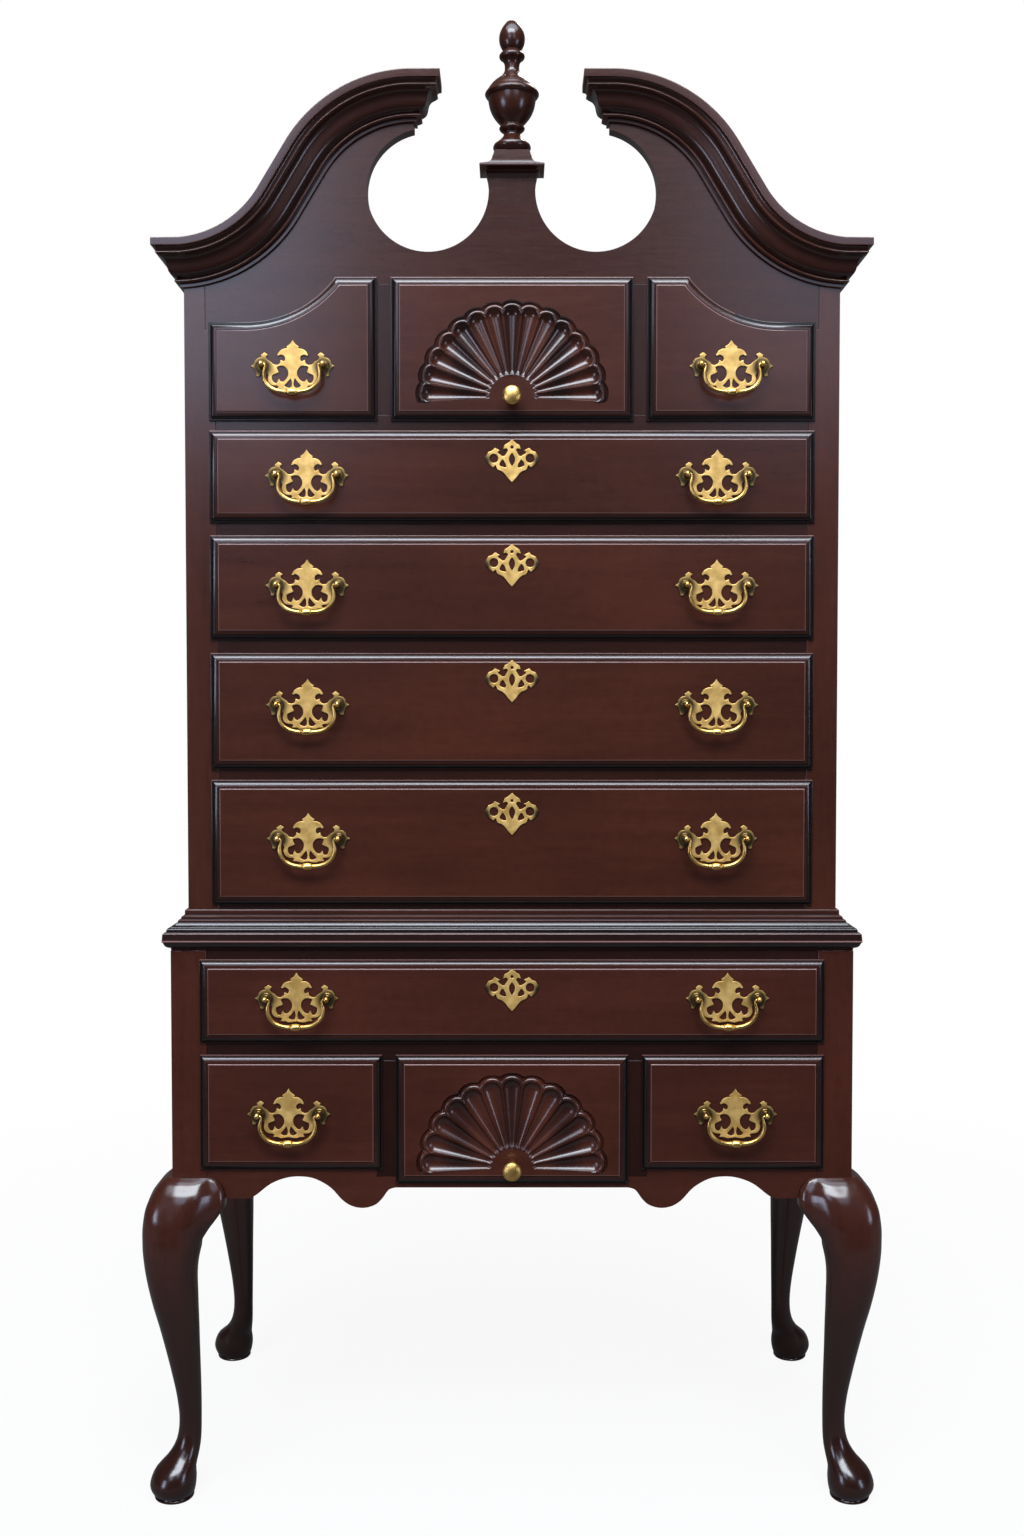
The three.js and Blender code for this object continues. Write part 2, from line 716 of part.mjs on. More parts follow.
function upperFaceFrame() {
  const parts = [upperStile(-1), upperStile(1)];
  const back = upperBackFace - gap;
  const levels = [...longLips, topLip].map((lip) => lip + lipOverlap);
  const openTops = longLips.map((lip, row) => lip + longHeights[row] - lipOverlap);
  levels.forEach((level, row) => {
    const railFoot = row === 0 ? upperFoot : openTops[row - 1];
    parts.push(block(-upperOpenHalf, upperOpenHalf, upperFront, upperFrameBack, railFoot, level));
    const guideFrom = upperFrameBack + gap;
    parts.push(...sideRunners(upperOpenHalf, upperInside, upperFront, back, level, guideFrom, back));
  });
  const boardTop = levels[0] - runnerThickness;
  const boardFoot = boardTop - topThickness;
  const insideEdge = upperInside - gap;
  parts.push(block(-insideEdge, insideEdge, upperFrameBack + gap, back, boardFoot, boardTop));
  parts.push(block(-upperOpenHalf, upperOpenHalf, upperFront, upperFrameBack * 2, boardFoot, boardTop));
  const level = levels[levels.length - 1];
  for (const side of [-1, 1]) {
    parts.push(...dividerWithRunners(
      side, topCentreLip - lipOverlap, topInnerLip + lipOverlap, upperFront, upperFrameBack, back,
      level, topOpenTop - gap, level, level,
    ));
  }
  return joined(parts);
}

addPiece("upper_face_frame", upperFaceFrame(), upperWood);
for (const [sideName, side] of [["left", -1], ["right", 1]]) {
  const span = spanOn(side, upperInside, upperHalf);
  const board = block(...span, upperFrameBack + gap, caseBack, upperFoot, caseTop - topThickness - gap);
  addPiece("upper_side_" + sideName, board, upperWood);
}
addPiece(
  "upper_top_board",
  block(-upperHalf, upperHalf, upperFrameBack + gap, caseBack, caseTop - topThickness, caseTop),
  upperWood,
);
const upperPanelHalf = upperInside - gap;
addPiece(
  "upper_back_panel",
  block(-upperPanelHalf, upperPanelHalf, upperBackFace, caseBack, upperFoot, caseTop - topThickness - gap),
  plainWood,
);

// Pediment board: stands on the stiles' shoulders, is cut round the top drawers and has two open roundels
function pedimentHalf() {
  const edge = notchX - gap;
  const cornerCentreZ = topLip + topCornerHeight + topCornerRadius;
  const cornerCentre = new THREE.Vector2(upperLipHalf - topCornerFlat, cornerCentreZ);
  const cornerRadius = topCornerRadius + lipOverlap;
  const endAngle = Math.asin((topOpenTop - cornerCentre.y) / cornerRadius);
  const corner = arcPoints(cornerCentre, -cornerRadius, -endAngle, Math.PI / 2, cornerSteps);
  const tipAngle = Math.acos((swanEndReach - roundelReach) / roundelRadius);
  const neckAngle = Math.asin((neckTop - roundelCentre.y) / roundelRadius);
  const roundel = arcPoints(roundelCentre, roundelRadius, tipAngle, -Math.PI - neckAngle, roundelSteps);
  return [
    [0, topOpenTop],
    ...corner,
    [edge, cornerOpenTop],
    lapPointAt(edge),
    ...lapPoints((x) => x < edge),
    ...roundel,
    [0, neckTop],
  ];
}

const pedimentShape = shapeOf(mirrorInX(pedimentHalf()));
addPiece("pediment_board", boardFacingFront(pedimentShape, upperFront, frameThickness), upperWood);

// Crown moulding profile, [projection, rise] as shares of the moulding's projection and height
const crownProfileShares = [
  [0.1, 0], [0.1, 0.07], [0.28, 0.09], [0.3, 0.17], [0.23, 0.2], [0.3, 0.33], [0.66, 0.5], [0.8, 0.64],
  [0.87, 0.66], [0.87, 0.73], [1, 0.82], [1, 1],
];

function crownMoulding(side) {
  const profile = [
    [gap, 0],
    ...crownProfileShares.map(([out, rise]) => [out * crownProjection, rise * crownHeight]),
    [gap, crownHeight],
  ];
  const ring = (placeOf) => profile.map(([out, rise]) => {
    const [x, y, z] = placeOf(out, rise);
    return new THREE.Vector3(side * x, y, z);
  });
  const endZ = crownFoot + swanRise;
  const rings = [
    ring((out, rise) => [upperHalf + out, caseBack, crownFoot + rise]),
    ring((out, rise) => [upperHalf + out, upperFront - out, crownFoot + rise]),
    ...swanStations().slice(0, -1).map((station) => ring((out, rise) => {
      const [x, z] = swanPoint(station, rise);
      return [x, upperFront - out, z];
    })),
    ring((out, rise) => [swanEndReach - out, upperFront - out, endZ + rise]),
    ring((out, rise) => [swanEndReach - out, upperFront + frameThickness, endZ + rise]),
  ];
  return loft(rings, capFrom(profile));
}

addPiece("crown_moulding_left", crownMoulding(-1), upperWood);
addPiece("crown_moulding_right", crownMoulding(1), upperWood);

// Plinth over the neck of the board: a thin cap with a hollow above it and a block on top, as shares
// [half width, half depth, rise]
const plinthShares = [
  [0.8, 0.44, 0], [0.84, 0.56, 0.05], [0.97, 0.92, 0.14], [1, 1, 0.17], [1, 1, 0.3], [0.78, 0.94, 0.35],
  [0.68, 0.92, 0.47], [0.6, 0.91, 0.66], [0.53, 0.89, 1],
];
const unitSquare = [[-1, -1], [1, -1], [1, 1], [-1, 1]];

function finialPlinth() {
  const foot = neckTop + gap;
  const middle = frameThickness / 2;
  const rings = plinthShares.map(([across, deep, rise]) => unitSquare.map(([x, y]) => {
    const halfDepth = y * deep * plinthCapHalfDepth;
    return new THREE.Vector3(x * across * plinthCapHalf, middle + halfDepth, foot + rise * plinthHeight);
  }));
  return loft(rings, capFrom(unitSquare));
}

addPiece("finial_plinth", finialPlinth(), upperWood);

// Finial: an urn below a waisted neck and a bud, [radius, rise] as shares of its greatest radius and height
const finialShares = [
  [0, 0], [0.54, 0], [0.7, 0.055], [0.64, 0.085], [0.32, 0.13], [0.3, 0.174], [0.48, 0.193],
  [0.48, 0.217], [0.4, 0.236], [0.57, 0.27], [0.76, 0.34], [0.85, 0.427], [0.97, 0.446], [1, 0.475],
  [0.88, 0.503], [0.72, 0.556], [0.48, 0.58], [0.3, 0.618], [0.27, 0.675], [0.46, 0.723], [0.47, 0.752],
  [0.36, 0.771], [0.47, 0.828], [0.46, 0.885], [0.23, 0.962], [0, 1],
];

function finial() {
  const foot = neckTop + 2 * gap + plinthHeight;
  const profile = finialShares.map(([radius, rise]) => [radius * finialRadius, rise * finialHeight]);
  const geometry = turning(profile, turningSides);
  geometry.rotateX(Math.PI / 2);
  geometry.translate(0, frameThickness / 2, foot);
  return solidOf(geometry);
}

addPiece("finial", finial(), upperWood);

// Waist moulding profile, [projection, rise] as shares
const waistProfileShares = [
  [0.66, 0], [0.72, 0.07], [0.86, 0.17], [1, 0.24], [1, 0.43], [0.89, 0.455], [0.78, 0.55], [0.56, 0.64],
  [0.38, 0.69], [0.38, 0.74], [0.25, 0.77], [0.25, 0.84], [0.12, 0.88], [0.12, 1],
];

function waistMoulding() {
  const profile = [
    [gap, 0],
    ...waistProfileShares.map(([out, rise]) => [out * waistProjection, rise * waistHeight]),
    [gap, waistHeight],
  ];
  const ring = (placeOf) => profile.map(([out, rise]) => {
    const [x, y] = placeOf(out);
    return new THREE.Vector3(x, y, upperFoot + rise);
  });
  const rings = [
    ring((out) => [-upperHalf - out, caseBack]),
    ring((out) => [-upperHalf - out, upperFront - out]),
    ring((out) => [upperHalf + out, upperFront - out]),
    ring((out) => [upperHalf + out, caseBack]),
  ];
  return loft(rings, capFrom(profile));
}

addPiece("waist_moulding", waistMoulding(), lowerWood);

// Lower case
const lowerFrameBack = lowerFront + frameThickness;
const lowerInside = lowerHalf - sideThickness;
const frontPostBack = lowerFront + postSize;
const rearPostFront = caseBack - postSize;
const lowerBackFace = caseBack - backThickness;
const wingTipZ = legHeight - wingDrop;

// The round top of a knee's wing, from its tip to the post, as [reach past the post, height]. A board that
// comes down on it follows the same curve with the gap added.
function wingCorner(extra) {
  return Array.from({ length: wingSteps + 1 }, (_, k) => {
    const angle = (k / wingSteps) * (Math.PI / 2);
    const reach = (wingReach + extra) * Math.cos(angle);
    return [Math.max(reach, extra), wingTipZ + (wingDrop + extra) * Math.sin(angle)];
  });
}

// Lower edge of the apron from the flat under the fan drawer to the ear, as shares of the half opening and
// of the drop below the flat
const apronEdgeShares = [
  [0.39, 0], [0.41, -0.13], [0.427, -0.57], [0.45, -0.86], [0.487, -1], [0.525, -0.91], [0.557, -0.61],
  [0.596, 0], [0.646, 0.42], [0.694, 0.54], [0.742, 0.47], [0.792, 0.18], [0.84, -0.36], [0.863, -0.54],
];

function frontApron() {
  const edge = lowerOpenHalf - gap;
  const half = [
    [0, caseFoot],
    ...apronEdgeShares.map(([across, down]) => [across * lowerOpenHalf, caseFoot + down * apronDrop]),
    ...wingCorner(gap).map(([reach, z]) => [lowerOpenHalf - reach, z]),
    [edge, lowerSideLip + lipOverlap],
    [lowerInnerLip + lipOverlap, lowerSideLip + lipOverlap],
    [lowerInnerLip + lipOverlap, lowerOpenBottom],
  ];
  const parts = [boardFacingFront(shapeOf(mirrorInX(half)), lowerFront, frameThickness)];
  const smallOpenTop = lowerSmallTop - lipOverlap;
  const longLevel = lowerLongLip + lipOverlap;
  const sideLevel = lowerSideLip + lipOverlap;
  const back = lowerBackFace - gap;
  parts.push(block(-edge, edge, lowerFront, lowerFrameBack, smallOpenTop, longLevel));
  parts.push(block(-edge, edge, lowerFront, lowerFrameBack, lowerTop - lowerTopRailHeight, lowerTop));
  for (const level of [sideLevel, longLevel, lowerTop]) {
    const guideTop = level === lowerTop ? 0 : guideHeight;
    for (const side of [-1, 1]) {
      const runner = spanOn(side, edge - runnerWidth, edge);
      const guide = spanOn(side, edge, lowerInside - gap);
      const foot = level - runnerThickness;
      parts.push(block(...runner, lowerFront + overrun, back, foot, level));
      parts.push(block(...guide, frontPostBack + gap, rearPostFront - gap, foot, level + guideTop));
    }
  }
  for (const side of [-1, 1]) {
    parts.push(...dividerWithRunners(
      side, lowerMiddleLip - lipOverlap, lowerInnerLip + lipOverlap, lowerFront, lowerFrameBack, back,
      lowerOpenBottom, smallOpenTop + overrun, lowerOpenBottom, sideLevel,
    ));
    const cleat = spanOn(side, edge - runnerWidth, edge);
    parts.push(block(...cleat, back - frameThickness, back, sideLevel - runnerThickness, lowerTop));
  }
  const railFront = back - frameThickness;
  const backRail = block(-edge, edge, railFront, back, lowerOpenBottom - runnerThickness, sideLevel);
  const middleHalf = lowerMiddleLip - lipOverlap;
  const backRailCut = block(
    -middleHalf, middleHalf, railFront - overrun, back + overrun, lowerOpenBottom, sideLevel + overrun,
  );
  parts.push(backRail.subtract(backRailCut));
  return joined(parts);
}

addPiece("lower_front_apron", frontApron(), lowerWood);

// Side board between the posts, drawn in Y and Z, with a shallow arch between its ears
const sideArchRiseShare = 0.5;
const sideEarShare = 0.12;
const archSteps = 8;

function lowerSideBoard(side) {
  const y0 = frontPostBack + gap;
  const y1 = rearPostFront - gap;
  const middle = (y0 + y1) / 2;
  const half = (y1 - y0) / 2;
  const ear = wingReach + half * sideEarShare;
  const arch = Array.from({ length: archSteps + 1 }, (_, k) => {
    const along = k / archSteps;
    const rise = apronDrop * sideArchRiseShare * (1 - Math.cos(along * Math.PI));
    return [(half - ear) * (1 - along), wingTipZ + rise];
  });
  const corner = wingCorner(gap).map(([reach, z]) => [half + gap - reach, z]);
  const shape = shapeOf(mirrorInX([[half, lowerTop], ...corner.reverse(), ...arch]));
  const geometry = new THREE.ExtrudeGeometry(shape, { depth: sideThickness, bevelEnabled: false });
  geometry.rotateX(Math.PI / 2);
  geometry.rotateZ(Math.PI / 2);
  const outer = side * lowerHalf;
  geometry.translate(side > 0 ? outer - sideThickness : outer, middle, 0);
  return solidOf(geometry);
}

addPiece("lower_side_left", lowerSideBoard(-1), lowerWood);
addPiece("lower_side_right", lowerSideBoard(1), lowerWood);
addPiece(
  "lower_back_panel",
  block(-lowerOpenHalf + gap, lowerOpenHalf - gap, lowerBackFace, caseBack, caseFoot, lowerTop),
  plainWood,
);

// Cabriole leg: [height, outward bulge, inward reach, squareness] as shares of the leg's height, the knee's
// bulge and the post's size; squareness 1 is round and larger is squarer
const legShares = [
  [1, 0.2, 0.98, 3], [0.985, 0.45, 0.985, 2.5], [0.94, 0.72, 0.99, 2], [0.88, 0.95, 1.05, 1.7],
  [0.83, 1, 0.93, 1.5], [0.77, 0.96, 0.77, 1.4], [0.63, 0.7, 0.685, 1.2], [0.51, 0.42, 0.69, 1.1],
  [0.4, 0.17, 0.7, 1.05], [0.3, -0.025, 0.71, 1], [0.21, -0.085, 0.705, 1],
  [0.15, 0.06, 0.69, 1], [0.11, 0.36, 0.64, 1], [0.085, 0.63, 0.6, 1], [0.045, 0.77, 0.625, 1],
  [0.015, 0.65, 0.54, 1], [0, 0.62, 0.51, 1],
];

function cabrioleLeg(side, end) {
  const faceX = lowerHalf;
  const faceY = end < 0 ? lowerFront : caseBack;
  const place = (outX, outY, z) => new THREE.Vector3(side * (faceX + outX), faceY + end * outY, z);
  const squared = (value, power) => Math.sign(value) * Math.abs(value) ** (1 / power);
  const rings = legShares.map(([rise, bulge, reach, power]) => {
    const out = bulge * kneeBulge;
    const inward = reach * postSize;
    const half = (out + inward) / 2;
    const centre = (out - inward) / 2;
    return Array.from({ length: legSides }, (_, k) => {
      const angle = (2 * Math.PI * (k + 0.5)) / legSides;
      const outX = centre + half * squared(Math.cos(angle), power);
      const outY = centre + half * squared(Math.sin(angle), power);
      return place(outX, outY, rise * legHeight);
    });
  });
  const cap = Array.from({ length: legSides }, (_, k) => {
    const angle = (2 * Math.PI * (k + 0.5)) / legSides;
    return new THREE.Vector2(Math.cos(angle), Math.sin(angle));
  });
  const leg = loft(rings, cap);
  const postY = end < 0 ? [faceY, faceY + postSize] : [faceY - postSize, faceY];
  const post = block(...spanOn(side, faceX - postSize, faceX), ...postY, wingTipZ, lowerTop);
  const parts = [leg, post, wing(side, end, false)];
  if (end < 0) {
    parts.push(wing(side, end, true));
  }
  return joined(parts);
}

// The lower edge of a wing, [reach past the post, drop] as shares of the wing's reach and of its tail
const wingTailShares = [[-0.155, 1], [0.155, 0.72], [0.66, 0.46], [1, 0.24]];
const wingRootShare = 0.5;

// A wing carries the knee's curve in under the case, beside the post on the front or on the side
function wing(side, end, onFront) {
  const root = postSize * wingRootShare;
  const shape = shapeOf([
    [root, wingTipZ - wingTail],
    ...wingTailShares.map(([reach, drop]) => [postSize + reach * wingReach, wingTipZ - drop * wingTail]),
    ...wingCorner(0).map(([reach, z]) => [postSize + reach, z]),
    [root, legHeight],
  ]);
  const geometry = new THREE.ExtrudeGeometry(shape, {
    depth: frameThickness + wingProud - 2 * wingBevel,
    bevelThickness: wingBevel,
    bevelSize: wingBevel,
    bevelOffset: -wingBevel,
    bevelSegments: 1,
  });
  geometry.translate(0, 0, wingBevel - frameThickness);
  const places = geometry.attributes.position;
  const points3 = [];
  for (let k = 0; k < places.count; k++) {
    const inward = places.getX(k);
    const z = places.getY(k);
    const outward = places.getZ(k);
    const faceY = end < 0 ? lowerFront : caseBack;
    const onX = onFront ? lowerHalf - inward : lowerHalf + outward;
    const onY = onFront ? outward : -inward;
    points3.push(new THREE.Vector3(side * onX, faceY + end * onY, z));
  }
  const triangles = [];
  for (let k = 0; k < points3.length; k += 3) {
    triangles.push([k, k + 1, k + 2]);
  }
  return closedSolid(points3, triangles);
}

for (const [sideName, side] of [["left", -1], ["right", 1]]) {
  addPiece("leg_front_" + sideName, cabrioleLeg(side, -1), lowerWood);
  addPiece("leg_rear_" + sideName, cabrioleLeg(side, 1), lowerWood);
}

// The part's own origin is the middle of its footprint, on the floor
const bounds = new THREE.Box3().setFromObject(highboy);
const middle = bounds.getCenter(new THREE.Vector3());
highboy.position.set(-middle.x, -middle.y, -bounds.min.z);

export default highboy;
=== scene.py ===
# %% [markdown]
# A highboy is a tall chest of drawers that stands on a lower case with long curved legs. This one is dark
# mahogany with a satin lacquer, pierced brass pulls, two carved fans, a swan-neck crown and a turned finial.
# The joiner's model gives every board its place, and this file makes the surfaces that are seen: mouldings,
# carving, turning, dovetails, brass and finish. Every piece is drawn in millimetres around that model.

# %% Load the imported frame
import json
import math
import bmesh
import bpy
import numpy as np
from mathutils.geometry import tessellate_polygon
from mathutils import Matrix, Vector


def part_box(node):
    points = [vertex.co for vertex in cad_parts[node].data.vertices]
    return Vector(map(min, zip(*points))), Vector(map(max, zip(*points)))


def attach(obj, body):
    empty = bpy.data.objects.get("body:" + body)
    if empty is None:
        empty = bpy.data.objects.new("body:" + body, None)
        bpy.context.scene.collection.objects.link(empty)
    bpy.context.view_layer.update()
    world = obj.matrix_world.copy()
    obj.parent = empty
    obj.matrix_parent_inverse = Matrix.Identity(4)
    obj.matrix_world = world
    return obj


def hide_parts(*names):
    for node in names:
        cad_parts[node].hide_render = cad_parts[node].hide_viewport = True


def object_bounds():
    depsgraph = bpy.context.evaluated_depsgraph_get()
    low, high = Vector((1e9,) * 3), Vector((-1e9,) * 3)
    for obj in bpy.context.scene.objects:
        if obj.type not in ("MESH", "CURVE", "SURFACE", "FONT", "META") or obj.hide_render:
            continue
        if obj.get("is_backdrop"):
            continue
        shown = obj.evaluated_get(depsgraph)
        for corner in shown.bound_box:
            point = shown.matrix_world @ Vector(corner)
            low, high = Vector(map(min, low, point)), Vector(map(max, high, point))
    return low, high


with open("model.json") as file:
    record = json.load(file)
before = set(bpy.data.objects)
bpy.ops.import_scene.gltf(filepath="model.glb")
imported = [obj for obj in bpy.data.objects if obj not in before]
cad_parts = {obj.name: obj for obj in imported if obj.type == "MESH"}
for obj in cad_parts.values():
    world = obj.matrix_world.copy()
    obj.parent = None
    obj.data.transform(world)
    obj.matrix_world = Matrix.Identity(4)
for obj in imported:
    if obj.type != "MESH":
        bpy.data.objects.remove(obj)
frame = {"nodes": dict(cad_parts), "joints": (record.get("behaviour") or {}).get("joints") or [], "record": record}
cad_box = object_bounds()
scene = bpy.context.scene
MM = 0.001


# %% [markdown]
# The camera stands a little over two metres away, at the height of the third long drawer from the top, and
# looks two degrees down. A long lens from far away would flatten the rear legs behind the front ones, so the
# real distance is kept and the lens is chosen to fit the frame.

# %% Camera
CAMERA_DISTANCE = 2182
CAMERA_HEIGHT = 1145.8
CAMERA_TILT = 2.0
CAMERA_LENS = 35.58
CAMERA_SHIFT = -0.0072
UPPER_FRONT = -216.5
camera_data = bpy.data.cameras.new("camera")
camera_data.lens = CAMERA_LENS
camera_data.shift_y = CAMERA_SHIFT
camera = bpy.data.objects.new("camera", camera_data)
camera.location = (0, (UPPER_FRONT - CAMERA_DISTANCE) * MM, CAMERA_HEIGHT * MM)
camera.rotation_euler = (math.radians(90 - CAMERA_TILT), 0, 0)
scene.collection.objects.link(camera)
scene.camera = camera
print("camera", [round(v, 3) for v in camera.location])


# %% [markdown]
# Shader and geometry trees are both made of nodes, so one small helper makes a node, sets its options and
# fills its sockets. A socket gets either a plain value or a link from another node's output.

# %% Node helpers
def node(tree, kind, sockets=None, **settings):
    made = tree.nodes.new(kind)
    for key, value in settings.items():
        setattr(made, key, value)
    for key, value in (sockets or {}).items():
        if isinstance(value, bpy.types.NodeSocket):
            tree.links.new(value, made.inputs[key])
        else:
            made.inputs[key].default_value = value
    return made


def shade_math(tree, operation, first, second=0.0, clamp=False):
    made = node(tree, "ShaderNodeMath", {0: first, 1: second}, operation=operation, use_clamp=clamp)
    return made.outputs[0]


def colour_mix(tree, factor, first, second):
    return node(tree, "ShaderNodeMix", {0: factor, 6: first, 7: second}, data_type="RGBA").outputs[2]


def remap(tree, value, low, high, new_low=0.0, new_high=1.0):
    made = node(tree, "ShaderNodeMapRange", {0: value, 1: low, 2: high, 3: new_low, 4: new_high})
    return made.outputs[0]


def scaled(tree, vector, factor):
    return node(tree, "ShaderNodeVectorMath", {0: vector, "Scale": factor}, operation="SCALE").outputs[0]


def noise(tree, place, scale, **more):
    return node(tree, "ShaderNodeTexNoise", {"Vector": place, "Scale": scale, **more}).outputs[0]


def carried(tree, name, output="Fac"):
    return node(tree, "ShaderNodeAttribute", attribute_name=name).outputs[output]


def blend_of(tree, *parts):
    shares = [shade_math(tree, "MULTIPLY", value, weight) for value, weight in parts]
    total = shares[0]
    for share in shares[1:]:
        total = shade_math(tree, "ADD", total, share)
    return total


print("node helpers ready")


# %% [markdown]
# Every finish starts as a new material with one shader, and most of them end in a shallow bump. Noise looks
# the same in every direction, and wood doesn't, so the place that the noise reads is scaled up across the
# grain: the pattern then comes out long and thin.

# %% Finish helpers
def new_finish(name):
    material = bpy.data.materials.new(name)
    material.use_nodes = True
    tree = material.node_tree
    return material, tree, tree.nodes["Principled BSDF"]


def add_bump(tree, shader, height, strength, distance):
    sockets = {"Strength": strength, "Distance": distance, "Height": height}
    tree.links.new(node(tree, "ShaderNodeBump", sockets).outputs[0], shader.inputs["Normal"])


def along_grain(tree, place, grain, stretch):
    scale = tuple(1.0 if axis == grain else stretch for axis in "xyz")
    return node(tree, "ShaderNodeMapping", {"Vector": place, "Scale": scale}).outputs[0]


print("finish helpers ready")


# %% [markdown]
# The lacquered mahogany is a stain under a clear coat. The stain follows the grain: broad bands, fine streaks
# and short dark pores, all one noise stretched along the board. Light and shade are also painted into the
# colour: each mesh carries a value per vertex, and above zero it mixes the stain towards near black as
# painted shade, in recesses, on the rails under the drawers' lips, down the legs and on the sides and feet
# of edges. Below zero it paints an arris pale, a painted highlight that also stands for an arris rubbed
# pale. The value called plank shifts the pattern, so that two boards cut side by side don't match. On a
# moulding that turns corners the grain runs along it, so its mesh carries that place as a vector.

# %% Mahogany
GRAIN_STRETCH = 13.0
PLANK_SHIFT = (3.7, 1.9, 2.3)
# The near black of the painted shade, and the pale red of the painted highlight on arrises, which also stands for
# rubbed wear
PAINTED_SHADE_COLOUR = (0.0025, 0.0016, 0.0015, 1)
WORN_AND_HIGHLIGHT_COLOUR = (0.30, 0.16, 0.14, 1)


def plank_place(tree, follow):
    place = node(tree, "ShaderNodeTexCoord").outputs["Object"]
    if follow:
        place = carried(tree, "along", "Vector")
    shift = scaled(tree, PLANK_SHIFT, carried(tree, "plank"))
    return node(tree, "ShaderNodeVectorMath", {0: place, 1: shift}, operation="ADD").outputs[0]


def mahogany(name, grain, dark, light, roughness=0.24, follow=False):
    material, tree, shader = new_finish(name)
    place = plank_place(tree, follow)
    along = along_grain(tree, place, grain, GRAIN_STRETCH)
    bands = noise(tree, along, 2.6, Detail=4.0, Roughness=0.55, Distortion=0.35)
    streaks = noise(tree, along, 21.0, Detail=5.0, Roughness=0.6)
    pores = noise(tree, along, 95.0, Detail=2.0, Roughness=0.5)
    mottle = noise(tree, place, 75.0, Detail=3.0)
    cloud = noise(tree, place, 3.2, Detail=2.0)
    pattern = blend_of(tree, (bands, 0.55), (streaks, 0.20), (mottle, 0.25))
    stain = colour_mix(tree, remap(tree, pattern, 0.30, 0.70), (*dark, 1), (*light, 1))
    stain = scaled(tree, stain, remap(tree, cloud, 0.35, 0.7, 0.84, 1.18))
    stain = scaled(tree, stain, remap(tree, pores, 0.36, 0.46, 0.93, 1.0))
    # Painted light: above zero the stain goes towards near black as painted shade, below zero towards pale red as
    # a painted highlight and rubbed wear
    glaze = carried(tree, "glaze")
    wear_and_highlight = shade_math(tree, "MULTIPLY", glaze, -1.0, clamp=True)
    colour = colour_mix(tree, shade_math(tree, "MAXIMUM", glaze, 0.0), stain, PAINTED_SHADE_COLOUR)
    tree.links.new(colour_mix(tree, wear_and_highlight, colour, WORN_AND_HIGHLIGHT_COLOUR), shader.inputs["Base Color"])
    rough = remap(tree, streaks, 0.3, 0.7, roughness - 0.02, roughness + 0.03)
    tree.links.new(rough, shader.inputs["Roughness"])
    shader.inputs["Coat Weight"].default_value = 0.2
    shader.inputs["Coat Roughness"].default_value = 0.2
    shader.inputs["IOR"].default_value = 1.5
    add_bump(tree, shader, blend_of(tree, (pores, 0.6), (streaks, 0.4)), 0.04, 0.0006)
    return material


UPPER_DARK = (0.037, 0.0088, 0.0044)
UPPER_LIGHT = (0.065, 0.0168, 0.0084)
LOWER_DARK = (0.041, 0.0095, 0.0050)
LOWER_LIGHT = (0.070, 0.0180, 0.0100)
LEG_ROUGHNESS = 0.2
upper_across = mahogany("upper_mahogany_across", "x", UPPER_DARK, UPPER_LIGHT)
upper_upright = mahogany("upper_mahogany_upright", "z", UPPER_DARK, UPPER_LIGHT)
lower_across = mahogany("lower_mahogany_across", "x", LOWER_DARK, LOWER_LIGHT)
lower_upright = mahogany("lower_mahogany_upright", "z", LOWER_DARK, LOWER_LIGHT, LEG_ROUGHNESS)
lower_deep = mahogany("lower_mahogany_deep", "y", LOWER_DARK, LOWER_LIGHT)
upper_moulding = mahogany("upper_mahogany_moulding", "x", UPPER_DARK, UPPER_LIGHT, follow=True)
lower_moulding = mahogany("lower_mahogany_moulding", "x", LOWER_DARK, LOWER_LIGHT, follow=True)
print("mahogany:", upper_across.name, lower_across.name, upper_moulding.name)


# %% [markdown]
# Drawer boxes, runners and back boards are of a cheap pale wood that nobody was meant to see. It is planed
# and left bare, so it is rough, with no coat, and its growth rings are wider than the mahogany's.

# %% Secondary wood
PLAIN_STRETCH = 9.0
PLAIN_DARK = (0.38, 0.235, 0.125, 1)
PLAIN_LIGHT = (0.55, 0.38, 0.22, 1)


def plain_wood(name, grain):
    material, tree, shader = new_finish(name)
    place = node(tree, "ShaderNodeTexCoord").outputs["Object"]
    along = along_grain(tree, place, grain, PLAIN_STRETCH)
    rings = noise(tree, along, 5.0, Detail=4.0, Distortion=0.8)
    fine = noise(tree, along, 60.0, Detail=3.0)
    wood = colour_mix(tree, remap(tree, rings, 0.35, 0.65), PLAIN_DARK, PLAIN_LIGHT)
    wood = scaled(tree, wood, remap(tree, fine, 0.3, 0.7, 0.85, 1.08))
    tree.links.new(wood, shader.inputs["Base Color"])
    shader.inputs["Roughness"].default_value = 0.7
    add_bump(tree, shader, fine, 0.2, 0.0008)
    return material


plain_across = plain_wood("plain_wood_across", "x")
plain_deep = plain_wood("plain_wood_deep", "y")
plain_upright = plain_wood("plain_wood_upright", "z")
print("secondary wood:", plain_across.name, plain_deep.name, plain_upright.name)


# %% [markdown]
# Old polished brass is bright where hands rub it and brown where polish never reaches. The metal's colour
# goes from one to the other by a soft noise, and towards the brown by the same per-vertex value as the wood,
# which on brass is patina and painted shade both: the bail's back and underside, and a dark sheet round each
# plate's edge, are painted shade. The polish is uneven, so the roughness varies too. A sawn plate carries its
# own place as a vector, and its brown gathers round the two posts; a cast piece is smoother and mirrors more.

# %% Antique brass
POST_REACH = 43.5
PATINA_DROP = 2.0
PATINA_FULL = 9.5
PATINA_GONE = 18.0
BRASS_DULL = (0.68, 0.395, 0.105, 1)
BRASS_BRIGHT = (0.93, 0.60, 0.195, 1)
PATINA_AND_SHADE_COLOUR = (0.05, 0.032, 0.013, 1)


